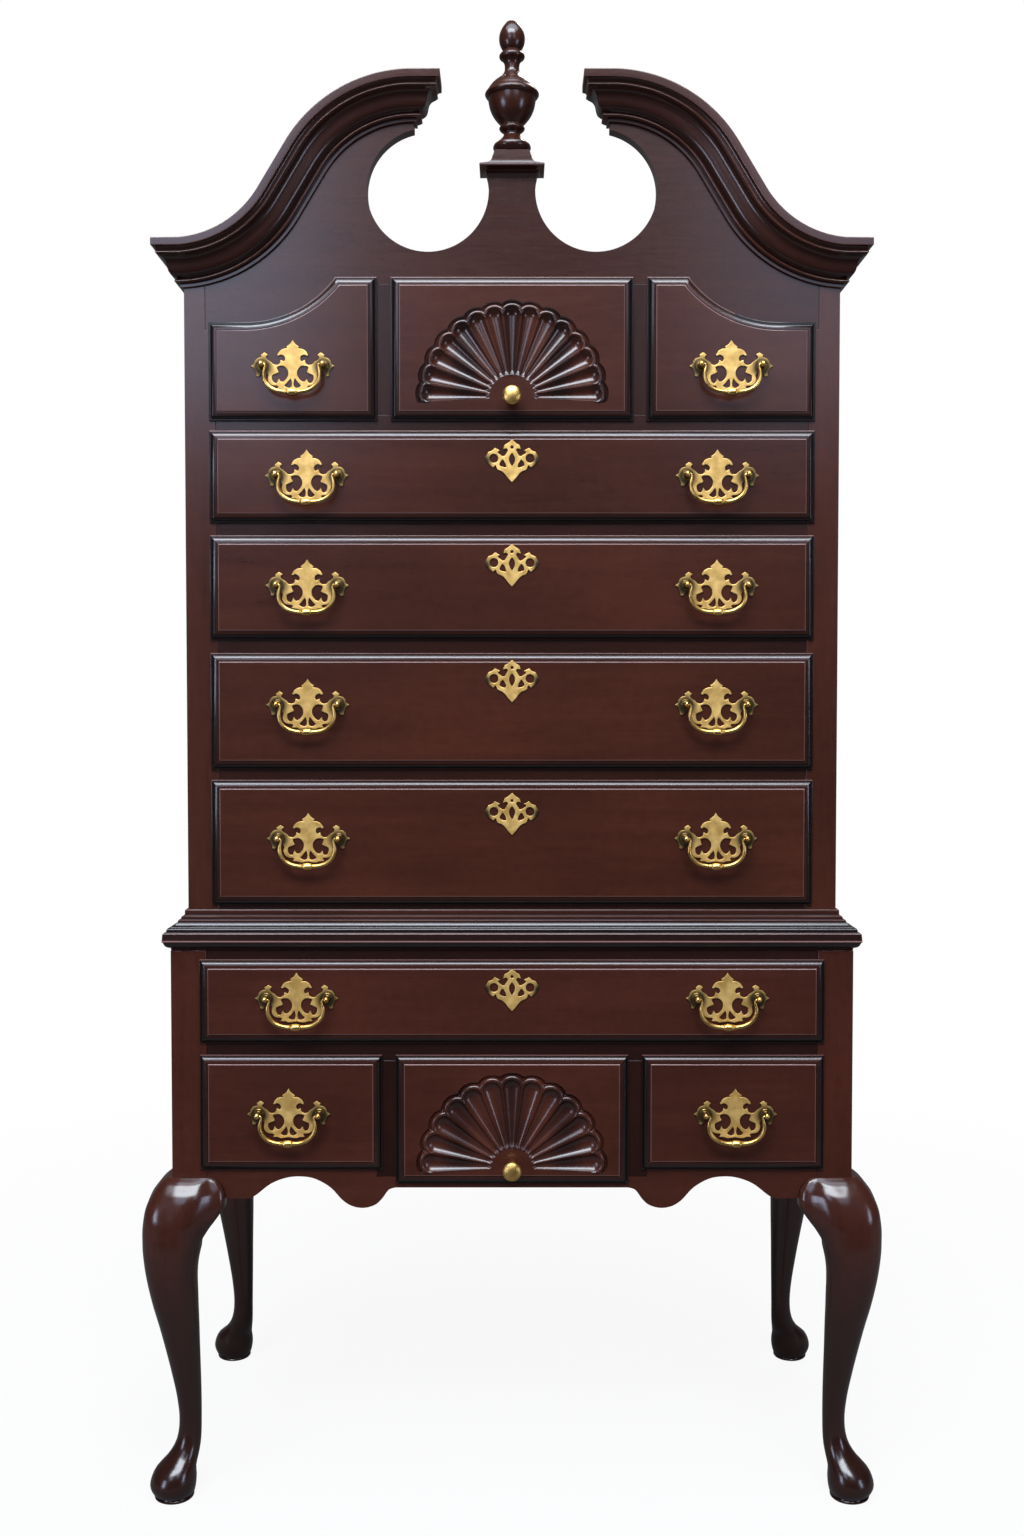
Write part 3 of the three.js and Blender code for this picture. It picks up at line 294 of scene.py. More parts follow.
def patina_round_posts(tree):
    spot = node(tree, "ShaderNodeSeparateXYZ", {0: carried(tree, "along", "Vector")}).outputs
    beside = shade_math(tree, "SUBTRACT", shade_math(tree, "ABSOLUTE", spot[0]), POST_REACH * MM)
    level = shade_math(tree, "ADD", spot[1], PATINA_DROP * MM)
    squares = [shade_math(tree, "MULTIPLY", value, value) for value in (beside, level)]
    away = shade_math(tree, "SQRT", shade_math(tree, "ADD", *squares))
    return remap(tree, away, PATINA_FULL * MM, PATINA_GONE * MM, 1.0, 0.0)


def antique_brass(name, patina_share, metallic, roughness):
    material, tree, shader = new_finish(name)
    place = node(tree, "ShaderNodeTexCoord").outputs["Object"]
    patina_and_shade = shade_math(tree, "MULTIPLY", patina_round_posts(tree), patina_share)
    # The per-vertex value adds painted shade to the patina here
    patina_and_shade = shade_math(tree, "MAXIMUM", patina_and_shade, carried(tree, "glaze"))
    soft = noise(tree, place, 70.0, Detail=3.0)
    grit = noise(tree, place, 900.0, Detail=2.0)
    metal = colour_mix(tree, remap(tree, soft, 0.35, 0.65), BRASS_DULL, BRASS_BRIGHT)
    tree.links.new(colour_mix(tree, patina_and_shade, metal, PATINA_AND_SHADE_COLOUR), shader.inputs["Base Color"])
    shader.inputs["Metallic"].default_value = metallic
    rough = remap(tree, soft, 0.3, 0.7, roughness - 0.05, roughness + 0.06)
    tree.links.new(rough, shader.inputs["Roughness"])
    add_bump(tree, shader, grit, 0.30, 0.0003)
    return material


sheet_brass = antique_brass("sheet_brass", 1.0, 0.66, 0.44)
cast_brass = antique_brass("cast_brass", 0.0, 1.0, 0.30)
knob_brass = antique_brass("knob_brass", 0.0, 1.0, 0.36)
print("brass:", sheet_brass.name, cast_brass.name, knob_brass.name)


# %% [markdown]
# A piece is collected as loose vertices and faces in millimetres, each with its value of painted light and
# its plank value, and is then made into one mesh at the origin. Doubles are merged and the faces are turned
# outwards. Weighted normals keep large flats flat beside their small rounded edges.

# %% Shapes and pieces
WELD_DISTANCE = 0.00001
SLIVER_LENGTH = 0.000001
SOFTEN_FROM = 40.0


class Shape:
    def __init__(self):
        self.vertices = []
        self.faces = []
        self.glaze = []
        self.plank = []
        self.along = []

    def add(self, vertices, faces, glaze=0.0, plank=0.0):
        start = len(self.vertices)
        self.vertices.extend(tuple(v) for v in vertices)
        self.faces.extend([tuple(start + k for k in face) for face in faces])
        self.glaze.extend(glaze if hasattr(glaze, "__len__") else [glaze] * len(vertices))
        self.plank.extend([plank] * len(vertices))


def mesh_of(name, shape, sharp=32.0, merge=True):
    mesh = bpy.data.meshes.new(name)
    mesh.from_pydata([(x * MM, y * MM, z * MM) for x, y, z in shape.vertices], [], shape.faces)
    if shape.along:
        attribute = mesh.attributes.new("along", "FLOAT_VECTOR", "POINT")
        attribute.data.foreach_set("vector", np.array(shape.along, np.float32).ravel() * MM)
    for key, values in (("glaze", shape.glaze), ("plank", shape.plank)):
        attribute = mesh.attributes.new(key, "FLOAT", "POINT")
        attribute.data.foreach_set("value", np.array(values, np.float32))
    work = bmesh.new()
    work.from_mesh(mesh)
    if merge:
        bmesh.ops.remove_doubles(work, verts=work.verts, dist=WELD_DISTANCE)
    bmesh.ops.dissolve_degenerate(work, edges=work.edges, dist=SLIVER_LENGTH)
    bmesh.ops.recalc_face_normals(work, faces=work.faces)
    work.to_mesh(mesh)
    work.free()
    mesh.shade_smooth()
    mesh.set_sharp_from_angle(angle=math.radians(sharp))
    return mesh


def piece(name, mesh, material, body, replaces=(), soften=0.0):
    made = bpy.data.objects.new(name, mesh)
    scene.collection.objects.link(made)
    mesh.materials.clear()
    mesh.materials.append(material)
    if soften:
        bevel = made.modifiers.new("soft_edges", "BEVEL")
        bevel.width = soften * MM
        bevel.segments = 2
        bevel.limit_method = "ANGLE"
        bevel.angle_limit = math.radians(SOFTEN_FROM)
    weighted = made.modifiers.new("flat_faces", "WEIGHTED_NORMAL")
    weighted.keep_sharp = True
    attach(made, body)
    if replaces:
        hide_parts(*replaces)


def box_mm(name):
    low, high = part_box(name)
    return [value / MM for value in (low.x, high.x, low.y, high.y, low.z, high.z)]


print("piece helpers ready")


# %% [markdown]
# Nearly all of the joinery comes from four forms: a block, a skin lofted over rings, a turning, and a board
# sawn to an outline. Each only adds its points and faces to a shape, so one mesh can hold many of them.

# %% Blocks, lofts and boards
def add_block(shape, x0, x1, y0, y1, z0, z1, plank=0.0, glaze=0.0):
    corners = [(x, y, z) for x in (x0, x1) for y in (y0, y1) for z in (z0, z1)]
    sides = [(0, 1, 3, 2), (4, 6, 7, 5), (0, 4, 5, 1), (2, 3, 7, 6), (0, 2, 6, 4), (1, 5, 7, 3)]
    shape.add(corners, sides, glaze, plank)


# The place of a moulding's points along its length and round its section, for grain that follows it
def along_rings(rings):
    result = []
    run = 0.0
    before = np.mean(rings[0], axis=0)
    for ring in rings:
        middle = np.mean(ring, axis=0)
        run += float(np.linalg.norm(middle - before))
        before = middle
        round_section = 0.0
        for p, point in enumerate(ring):
            if p:
                round_section += math.dist(point, ring[p - 1])
            result.append((run, round_section, 0.0))
    return result


# Rings of equal length become a skin, with an end face at each end
def add_loft(shape, rings, glaze=0.0, plank=0.0, ends=True):
    size = len(rings[0])
    faces = []
    for ring in range(len(rings) - 1):
        for k in range(size):
            a = ring * size + k
            b = ring * size + (k + 1) % size
            faces.append((a, b, b + size, a + size))
    if ends:
        last = (len(rings) - 1) * size
        faces.append(tuple(reversed(range(size))))
        faces.append(tuple(last + k for k in range(size)))
    shape.add([point for ring in rings for point in ring], faces, glaze, plank)


# A turning's profile has a radius, a height and a painted shade for each ring
def add_turning(shape, profile, place, sides):
    angles = [2 * math.pi * k / sides for k in range(sides)]
    rings = [[place(radius * math.cos(a), radius * math.sin(a), height) for a in angles]
             for radius, height, _ in profile]
    add_loft(shape, rings, [dark for *_, dark in profile for _ in range(sides)])


# A board cut to an outline in X and Z, from its front at y0 to its back at y1
def add_outline_board(shape, outline, y0, y1, plank=0.0, glaze=0.0):
    triangles = tessellate_polygon([[(x, z, 0) for x, z in outline]])
    count = len(outline)
    faces = [tuple(face) for face in triangles]
    faces += [tuple(count + k for k in reversed(face)) for face in triangles]
    for a in range(count):
        b = (a + 1) % count
        faces.append((a, b, count + b, count + a))
    points = [(x, y, z) for y in (y0, y1) for x, z in outline]
    shape.add(points, faces, glaze, plank)


print("solid helpers ready")


# %% [markdown]
# Outlines are drawn as a joiner draws them, with a few points, arcs and smooth curves through points. The
# joiner's plank value tells each board's grain from its neighbour's, so the values stand in one list.

# %% Lines and planks
PLANK = {
    "drawer": 1.0, "rail": 20.3, "divider": 31.7, "stile": 36.1, "pediment": 41.3, "crown": 50.0,
    "waist": 57.0, "plinth": 61.0, "leg": 70.0, "leg_post": 74.0, "apron": 81.0, "middle_rail": 83.4,
    "top_rail": 85.7, "lower_divider": 88.0,
}
DRAWER_PLANK_STEP = 0.618
REAR_PLANK_STEP = 0.3


# A smooth line through points; a point whose third value is 1 is a sharp corner
def flowing(points, steps=5, closed=False):
    count = len(points)
    result = []
    for k in range(count if closed else count - 1):
        p1 = points[k]
        p2 = points[(k + 1) % count]
        p0 = points[k - 1] if (k > 0 or closed) else p1
        p3 = points[(k + 2) % count] if (k + 2 < count or closed) else p2
        if len(p1) > 2 and p1[2]:
            p0 = p1
        if len(p2) > 2 and p2[2]:
            p3 = p2
        for step in range(steps):
            t = step / steps
            values = []
            for axis in (0, 1):
                a, b, c, d = p0[axis], p1[axis], p2[axis], p3[axis]
                values.append(0.5 * (2 * b + (c - a) * t + (2 * a - 5 * b + 4 * c - d) * t * t
                                     + (3 * b - a - 3 * c + d) * t ** 3))
            result.append(tuple(values))
    if not closed:
        result.append(tuple(points[-1][:2]))
    return result


def arc(centre, radius, start, end, steps):
    angles = [math.radians(start + (end - start) * k / steps) for k in range(steps + 1)]
    return [(centre[0] + radius * math.cos(a), centre[1] + radius * math.sin(a)) for a in angles]


# The radius of an arc that starts level and rises so far over a run
def arc_radius(run, rise):
    return (run * run + rise * rise) / (2 * rise)


def both_halves(right):
    return right + [(-x, z) for x, z in reversed(right) if x > 0]


print("planks:", len(PLANK))


# %% [markdown]
# A geometry tree starts with its named inputs. The modifier's values are set by each socket's identifier, and
# the result is turned into a plain mesh, so that nothing live is left on the piece.

# %% Geometry tree helper
def geometry_tree(name, inputs):
    tree = bpy.data.node_groups.new(name, "GeometryNodeTree")
    tree.interface.new_socket("Geometry", in_out="OUTPUT", socket_type="NodeSocketGeometry")
    for label, kind, default in inputs:
        socket = tree.interface.new_socket(label, in_out="INPUT", socket_type="NodeSocket" + kind)
        if default is not None:
            socket.default_value = default
    return tree, node(tree, "NodeGroupInput").outputs, node(tree, "NodeGroupOutput")


def grown_mesh(tree, values):
    holder = bpy.data.objects.new("holder", bpy.data.meshes.new("holder"))
    scene.collection.objects.link(holder)
    modifier = holder.modifiers.new("tree", "NODES")
    modifier.node_group = tree
    for item in tree.interface.items_tree:
        if item.in_out == "INPUT" and item.name in values:
            modifier[item.identifier] = values[item.name]
    bpy.context.view_layer.update()
    depsgraph = bpy.context.evaluated_depsgraph_get()
    mesh = bpy.data.meshes.new_from_object(holder.evaluated_get(depsgraph), depsgraph=depsgraph)
    holder.modifiers.remove(modifier)
    bpy.data.objects.remove(holder)
    return mesh


def add_mesh(shape, mesh, plank=0.0):
    glaze = mesh.attributes.get("glaze")
    values = [0.0] * len(mesh.vertices)
    if glaze:
        glaze.data.foreach_get("value", values)
    faces = [tuple(p.vertices) for p in mesh.polygons]
    shape.add([tuple(v.co / MM) for v in mesh.vertices], faces, values, plank)


print("geometry tree helper ready")


# %% [markdown]
# The carved fan is a half circle of hollow flutes that widen from the hub and end in scallops, with a raised
# bead round the scallops and a groove outside it. A sculptor's brush could dig it, but its shape follows a
# rule, so a tree bends a flat grid round the hub: across the grid go the flutes, and along it go the flute,
# its round end, the bead and the groove. The crests then fall exactly on rows of vertices and stay crisp.

# %% Fan tree
FLUTE_SHARE = 0.44
SCALLOP_SHARE = 0.68
BEAD_SHARE = 0.53
GROOVE_SHARE = 0.40
COLLAR_SHARE = 0.04
FLUTE_START = 0.05
COLLAR_HEIGHT = 0.0006
BOWL_POWER = 0.8
DEPTH_POWER = 0.85
BEAD_POWER = 0.7
TOOL_MARK = 0.014
FLAT_MARGIN = 0.052
MARGIN_BLEND = 0.02
FLUTE_DARK = 0.8
GROOVE_DARK = 0.97
BEAD_PALE = 0.22
FAN_WELD = 0.00002
ROUNDING = 0.0001


def fan_tree():
    tree, given, out = geometry_tree("carved_fan", [
        ("Flutes", "Int", 15), ("Hub", "Float", 0.034), ("Reach", "Float", 0.118),
        ("Over sweep", "Float", 0.06), ("Fill", "Float", 0.89), ("Depth", "Float", 0.0066),
        ("Rim", "Float", 0.0110), ("Bead", "Float", 0.0018), ("Groove", "Float", 0.0036),
        ("Columns", "Int", 20), ("Rows", "Int", 76), ("Front", "Float", 0.0), ("Height", "Float", 0.0),
        ("Finish", "Material", None),
    ])

    def op(kind, first, second=0.0, third=None, clamp=False):
        sockets = {0: first, 1: second}
        if third is not None:
            sockets[2] = third
        return node(tree, "ShaderNodeMath", sockets, operation=kind, use_clamp=clamp).outputs[0]

    def hump(value, width):
        return op("SINE", op("MULTIPLY", op("DIVIDE", value, width, clamp=True), math.pi))

    columns = op("ADD", op("MULTIPLY", given["Flutes"], given["Columns"]), 1.0)
    grid = node(tree, "GeometryNodeMeshGrid", {
        "Size X": 1.0, "Size Y": 1.0, "Vertices X": columns, "Vertices Y": given["Rows"],
    }).outputs[0]
    spot = node(tree, "ShaderNodeSeparateXYZ", {0: node(tree, "GeometryNodeInputPosition").outputs[0]})
    turn = op("MULTIPLY", op("ADD", spot.outputs[0], 0.5), given["Flutes"])
    turn = op("DIVIDE", op("ROUND", op("MULTIPLY", turn, given["Columns"])), given["Columns"])
    row = op("ADD", spot.outputs[1], 0.5)
    index = op("FLOOR", op("ADD", turn, ROUNDING))
    across = op("SINE", op("MULTIPLY", op("SUBTRACT", op("SUBTRACT", turn, index), 0.5), math.pi))
    pitch = op("DIVIDE", op("MULTIPLY_ADD", given["Over sweep"], 2.0, math.pi), given["Flutes"])
    angle = op("SUBTRACT", op("MULTIPLY", pitch, op("MULTIPLY_ADD", across, 0.5, op("ADD", index, 0.5))),
               given["Over sweep"])
    inside = op("MINIMUM", op("DIVIDE", op("ABSOLUTE", across), given["Fill"]), 1.0)
    square = op("SUBTRACT", 1.0, op("MULTIPLY", inside, inside))
    stem = op("DIVIDE", row, FLUTE_SHARE, clamp=True)
    end = op("DIVIDE", op("SUBTRACT", row, FLUTE_SHARE), SCALLOP_SHARE - FLUTE_SHARE, clamp=True)
    rim = op("DIVIDE", op("SUBTRACT", row, SCALLOP_SHARE), 1.0 - SCALLOP_SHARE, clamp=True)
    half_angle = op("MULTIPLY", op("MULTIPLY", pitch, 0.5), given["Fill"])
    half = op("MULTIPLY", given["Reach"], op("TANGENT", half_angle))
    offset = op("MULTIPLY_ADD", rim, given["Rim"], half)
    sideways = op("MULTIPLY", across, op("DIVIDE", half, given["Fill"]))
    scallop = op("SUBTRACT", op("MULTIPLY", offset, offset), op("MULTIPLY", sideways, sideways))
    scallop = op("SQRT", op("MAXIMUM", scallop, 0.0))
    straight = op("MULTIPLY_ADD", op("SUBTRACT", given["Reach"], given["Hub"]), stem, given["Hub"])
    radius = op("MULTIPLY_ADD", scallop, end, straight)
    bowl = op("SUBTRACT", square, op("MULTIPLY", op("MULTIPLY", end, end), square))
    bowl = op("POWER", op("MAXIMUM", bowl, 0.0), BOWL_POWER)
    deep = op("MULTIPLY", op("POWER", op("DIVIDE", straight, given["Reach"]), DEPTH_POWER), given["Depth"])
    start = op("DIVIDE", op("SUBTRACT", stem, COLLAR_SHARE), FLUTE_START, clamp=True)
    ripple = op("COSINE", op("MULTIPLY", across, 4.0 * math.pi))
    gouge = op("MULTIPLY_ADD", ripple, TOOL_MARK, 1.0 - TOOL_MARK)
    flute = op("MULTIPLY", op("MULTIPLY", op("MULTIPLY", bowl, gouge), deep), start)
    collar = op("MULTIPLY", hump(stem, COLLAR_SHARE), COLLAR_HEIGHT)
    swell = op("POWER", hump(rim, BEAD_SHARE), BEAD_POWER)
    bead = op("MULTIPLY_ADD", swell, given["Bead"], collar)
    groove = op("MULTIPLY", hump(op("SUBTRACT", rim, BEAD_SHARE), GROOVE_SHARE), given["Groove"])
    edge = op("MINIMUM", turn, op("SUBTRACT", given["Flutes"], turn))
    edge = op("DIVIDE", op("SUBTRACT", edge, FLAT_MARGIN), MARGIN_BLEND, clamp=True)
    sunk = op("MULTIPLY", op("SUBTRACT", op("ADD", flute, groove), bead), edge)
    place = node(tree, "ShaderNodeCombineXYZ", {
        0: op("MULTIPLY", radius, op("COSINE", angle)),
        1: op("ADD", given["Front"], sunk),
        2: op("MULTIPLY_ADD", radius, op("SINE", angle), given["Height"]),
    }).outputs[0]
    bent = node(tree, "GeometryNodeSetPosition", {"Geometry": grid, "Position": place}).outputs[0]
    # Painted light: the flutes' hollows and the groove are darkened as painted shade, and the bead is paled as a
    # painted highlight
    dark = op("DIVIDE", op("MAXIMUM", flute, 0.0), given["Depth"])
    dark = op("MULTIPLY", dark, FLUTE_DARK, clamp=True)
    dark = op("MAXIMUM", dark, op("MULTIPLY", op("DIVIDE", groove, given["Groove"]), GROOVE_DARK))
    dark = op("MULTIPLY", op("SUBTRACT", dark, op("MULTIPLY", swell, BEAD_PALE)), edge)
    stored = node(tree, "GeometryNodeStoreNamedAttribute", {
        "Geometry": bent, "Name": "glaze", "Value": dark,
    }, data_type="FLOAT", domain="POINT").outputs[0]
    merged = node(tree, "GeometryNodeMergeByDistance", {"Geometry": stored, "Distance": FAN_WELD}).outputs[0]
    real = node(tree, "GeometryNodeRealizeInstances", {"Geometry": merged}).outputs[0]
    done = node(tree, "GeometryNodeSetMaterial", {"Geometry": real, "Material": given["Finish"]}).outputs[0]
    tree.links.new(done, out.inputs[0])
    return tree


carved_fan = fan_tree()
print("fan tree nodes:", len(carved_fan.nodes))


# %% [markdown]
# A drawer's side is let into its front with dovetails: wedge-shaped tails that widen towards the front and
# can't be pulled out of it. They repeat at an even pitch up the side, so a tree sets one small wedge on a
# line of points. The wedges stand only a hair proud of the side and of the darker front.

# %% Dovetail tree
TAIL_WIDTH = 18.0
TAIL_FLARE = 3.0
TAIL_LENGTH = 9.0
TAIL_PITCH = 27.0
TAIL_PROUD = 0.1


def dovetail_tree():
    tree, given, out = geometry_tree("dovetails", [
        ("Tail", "Object", None), ("Count", "Int", 4), ("Start", "Vector", (0, 0, 0)),
        ("Step", "Vector", (0, 0, 0)), ("Finish", "Material", None),
    ])
    line = node(tree, "GeometryNodeMeshLine", {
        "Count": given["Count"], "Start Location": given["Start"], "Offset": given["Step"],
    }, mode="OFFSET").outputs[0]
    tail = node(tree, "GeometryNodeObjectInfo", {"Object": given["Tail"]}).outputs["Geometry"]
    spread = node(tree, "GeometryNodeInstanceOnPoints", {"Points": line, "Instance": tail}).outputs[0]
    real = node(tree, "GeometryNodeRealizeInstances", {"Geometry": spread}).outputs[0]
    done = node(tree, "GeometryNodeSetMaterial", {"Geometry": real, "Material": given["Finish"]}).outputs[0]
    tree.links.new(done, out.inputs[0])
    return tree


def tail_object(name, thickness):
    wedge = Shape()
    narrow = TAIL_WIDTH / 2
    wide = narrow + TAIL_FLARE
    outline = [(0, -wide), (0, wide), (TAIL_LENGTH, narrow), (TAIL_LENGTH, -narrow)]
    rings = [[(x, y, z) for y, z in outline] for x in (-thickness / 2, thickness / 2)]
    add_loft(wedge, rings)
    return bpy.data.objects.new(name, mesh_of(name, wedge))


dovetails = dovetail_tree()
print("dovetail tree nodes:", len(dovetails.nodes))


# %% [markdown]
# A lipped drawer front overlaps its opening. From the outside in, its face has a thin square lip, a rounded
# ovolo, a small step and the flat field. The section is drawn once as pairs of inset and rise, and a skin is
# lofted over the outline at each inset, so the corners mitre by themselves, the hollow ones too. Each pair
# has two values of painted light: one for the upper edge, and one for the sides and foot, painted darker as
# shade. The arrises of the field and of the lip's upper edge get painted highlights.

# %% Drawer fronts
LIP_THICKNESS = 3.0
SEAT_GAP = 0.3
OVOLO_WIDTH = 11.4
OVOLO_DEPTH = 5.2
OVOLO_START = 2.9
OVOLO_RISE = 0.2
QUIRK = 0.35
FIELD_STEP = 1.2
FIELD_ROUND = 1.3
FIELD_INSET = 14.2
BOX_INSET = 10.5
CORE_THICKNESS = 14.0
CORNER_STEP = 0.5
FIELD_FORWARD = SEAT_GAP + LIP_THICKNESS + OVOLO_DEPTH + FIELD_STEP


def lip_section():
    edge = SEAT_GAP + LIP_THICKNESS
    section = [(BOX_INSET, -CORE_THICKNESS, 0.0, 0.0), (BOX_INSET, SEAT_GAP, 0.95, 0.95)]
    section += [(0.5, SEAT_GAP, 0.95, 0.95), (0.0, SEAT_GAP + 0.5, 0.9, 0.9), (0.0, edge - 0.7, 0.5, 0.95)]
    section += [(0.2, edge - 0.2, -0.2, 0.9), (0.7, edge, -0.5, 0.6), (1.7, edge, 0.0, 0.9)]
    section += [(2.0, edge - 0.4, 0.95, 1.0), (2.7, edge - 0.4, 0.95, 1.0)]
    section.append((OVOLO_START, edge + OVOLO_RISE, 0.7, 1.0))
    for k in range(1, 12):
        turn = k / 11
        angle = math.pi / 2 * turn
        across = OVOLO_START + (OVOLO_WIDTH - OVOLO_START) * (1 - math.cos(angle))
        forward = edge + OVOLO_RISE + (OVOLO_DEPTH - OVOLO_RISE) * math.sin(angle)
        shaded = 0.97 if turn < 0.5 else 0.97 - 1.2 * (turn - 0.5)
        section.append((across, forward, 0.85 - 0.75 * turn, shaded))
    top = edge + OVOLO_DEPTH
    section += [(OVOLO_WIDTH + 0.3, top - QUIRK, 0.9, 1.0), (OVOLO_WIDTH + 1.0, top - QUIRK, 0.9, 1.0)]
    for k in range(5):
        angle = math.pi / 2 * k / 4
        across = OVOLO_WIDTH + 1.0 + FIELD_ROUND * (1 - math.cos(angle))
        section.append((across, top + 0.1 + (FIELD_STEP - 0.1) * math.sin(angle), -0.55, -0.28))
    section += [(FIELD_INSET, FIELD_FORWARD, 0.0, 0.0), (FIELD_INSET + 1.0, FIELD_FORWARD, 0.0, 0.0)]
    return section


def rectangle(x0, x1, z0, z1):
    return lambda inset: [(x0 + inset, z0 + inset), (x1 - inset, z0 + inset), (x1 - inset, z1 - inset),
                          (x0 + inset, z1 - inset)]


CORNER_HEIGHT = 139.4
CORNER_FLAT = 53.0
CORNER_INNER_FLAT = 59.3


def hollow_corner(side, inner, outer, z0, z1):
    rise = z1 - z0 - CORNER_HEIGHT
    run = outer - CORNER_FLAT - inner - CORNER_INNER_FLAT
    full = arc_radius(run, rise)
    centre = (outer - CORNER_FLAT, z0 + CORNER_HEIGHT + full)

    def outline(inset):
        radius = full + inset
        low = -90.0
        high = -math.degrees(math.pi - math.asin((centre[1] - z1 + inset) / radius))
        curve = arc(centre, radius, low, high, 28)
        points = [(inner + inset, z0 + inset), (outer - inset, z0 + inset), (outer - inset, curve[0][1])]
        points += curve + [(inner + inset, z1 - inset)]
        return [(side * x, z) for x, z in points]
    return outline


# Painted shade that differs between two sides changes in a short step beside their corner
def side_shaded(points, shadows):
    result = []
    count = len(points)
    for k in range(count):
        before, after = shadows[k - 1], shadows[k]
        x, z = points[k]
        if before == after:
            result.append((x, z, after))
            continue
        px, pz = points[k - 1]
        nx, nz = points[(k + 1) % count]
        back = CORNER_STEP / math.hypot(px - x, pz - z)
        ahead = CORNER_STEP / math.hypot(nx - x, nz - z)
        result.append((x + (px - x) * back, z + (pz - z) * back, before))
        result.append((x, z, (before + after) / 2))
        result.append((x + (nx - x) * ahead, z + (nz - z) * ahead, after))
    return result


def add_drawer_front(shape, outline, front, plank, fan=None):
    section = lip_section()
    first = outline(0.0)
    middle = sum(z for _, z in first) / len(first)
    shadows = []
    # Upper edges are left lit; the sides and foot get painted shade
    for k, (x, z) in enumerate(first):
        nx, nz = first[(k + 1) % len(first)]
        level = abs(nx - x) > 0.2 * abs(nz - z)
        shadows.append(0.0 if level and (z + nz) / 2 > middle else 1.0)
    rings = []
    glaze = []
    for inset, forward, dark, shaded in section:
        stepped = side_shaded(outline(inset), shadows)
        rings.append([(x, front - forward, z) for x, z, _ in stepped])
        glaze.extend(dark + (max(shaded, dark) - dark) * share for _, _, share in stepped)
    count = len(rings[0])
    add_loft(shape, rings, glaze, plank, ends=False)
    shape.add(rings[0], [tuple(range(count))], 0.0, plank)
    if fan is None:
        shape.add(rings[-1], [tuple(range(count))], 0.0, plank)
        return
    border = boundary_loop(fan)
    for index in border:
        fan.attributes["glaze"].data[index].value = 0.0
    add_mesh(shape, fan, plank)
    hole = [tuple(fan.vertices[index].co / MM) for index in border]
    outer = [(x, z, 0) for x, _, z in rings[-1]]
    flat = rings[-1] + hole
    triangles = tessellate_polygon([outer, [(x, z, 0) for x, _, z in hole]])
    shape.add(flat, [tuple(face) for face in triangles], 0.0, plank)


def boundary_loop(mesh):
    work = bmesh.new()
    work.from_mesh(mesh)
    edges = [edge for edge in work.edges if edge.is_boundary]
    links = {}
    for edge in edges:
        first, second = edge.verts
        links.setdefault(first, []).append(second)
        links.setdefault(second, []).append(first)
    start = edges[0].verts[0]
    loop = [start]
    before, current = None, start
    while True:
        ahead = [v for v in links[current] if v is not before][0]
        if ahead is start:
            break
        loop.append(ahead)
        before, current = current, ahead
    indices = [v.index for v in loop]
    work.free()
    return indices


# %% [markdown]
# Behind the front is an open box of plain wood: two sides, a back a little lower than the sides, and a thin
# bottom that slides in a groove. The tails of the sides show on the outside where they meet the front.

# %% Drawer boxes
BOX_WALL = 12.0
BOTTOM_RISE = 6.0
BOTTOM_THICKNESS = 7.0
BACK_DROP = 6.0
BOARD_PLAY = 0.1


def drawer_box(name, x0, x1, y0, y1, z0, z1):
    tray = Shape()
    inner_x0, inner_x1 = x0 + BOX_WALL, x1 - BOX_WALL
    add_block(tray, x0, inner_x0, y0, y1, z0, z1)
    add_block(tray, inner_x1, x1, y0, y1, z0, z1)
    board_x0, board_x1 = inner_x0 + BOARD_PLAY, inner_x1 - BOARD_PLAY
    add_block(tray, board_x0, board_x1, y1 - BOX_WALL, y1 - 2 * BOARD_PLAY, z0, z1 - BACK_DROP)
    add_block(tray, board_x0, board_x1, y0, y1 - BOX_WALL - BOARD_PLAY, z0 + BOTTOM_RISE,
              z0 + BOTTOM_RISE + BOTTOM_THICKNESS)
    tail = tail_object(name + "_tail", BOX_WALL)
    count = max(2, round((z1 - z0 - TAIL_WIDTH) / TAIL_PITCH))
    pitch = (z1 - z0) / count
    for x, outward in ((x0, -1), (x1, 1)):
        centre = x - outward * (BOX_WALL / 2 - TAIL_PROUD)
        grown = grown_mesh(dovetails, {
            "Tail": tail, "Count": count,
            "Start": (centre * MM, (y0 - TAIL_LENGTH) * MM, (z0 + pitch / 2) * MM),
            "Step": (0.0, 0.0, pitch * MM), "Finish": plain_deep,
        })
        add_mesh(tray, grown)
    bpy.data.objects.remove(tail)
    return mesh_of(name, tray, merge=False)


# %% [markdown]
# Eleven drawers follow the joiner's solids. Each front is from its own board, so each gets its own plank
# value. The two with fans have no pulls, and a knob is screwed on at the hub instead.

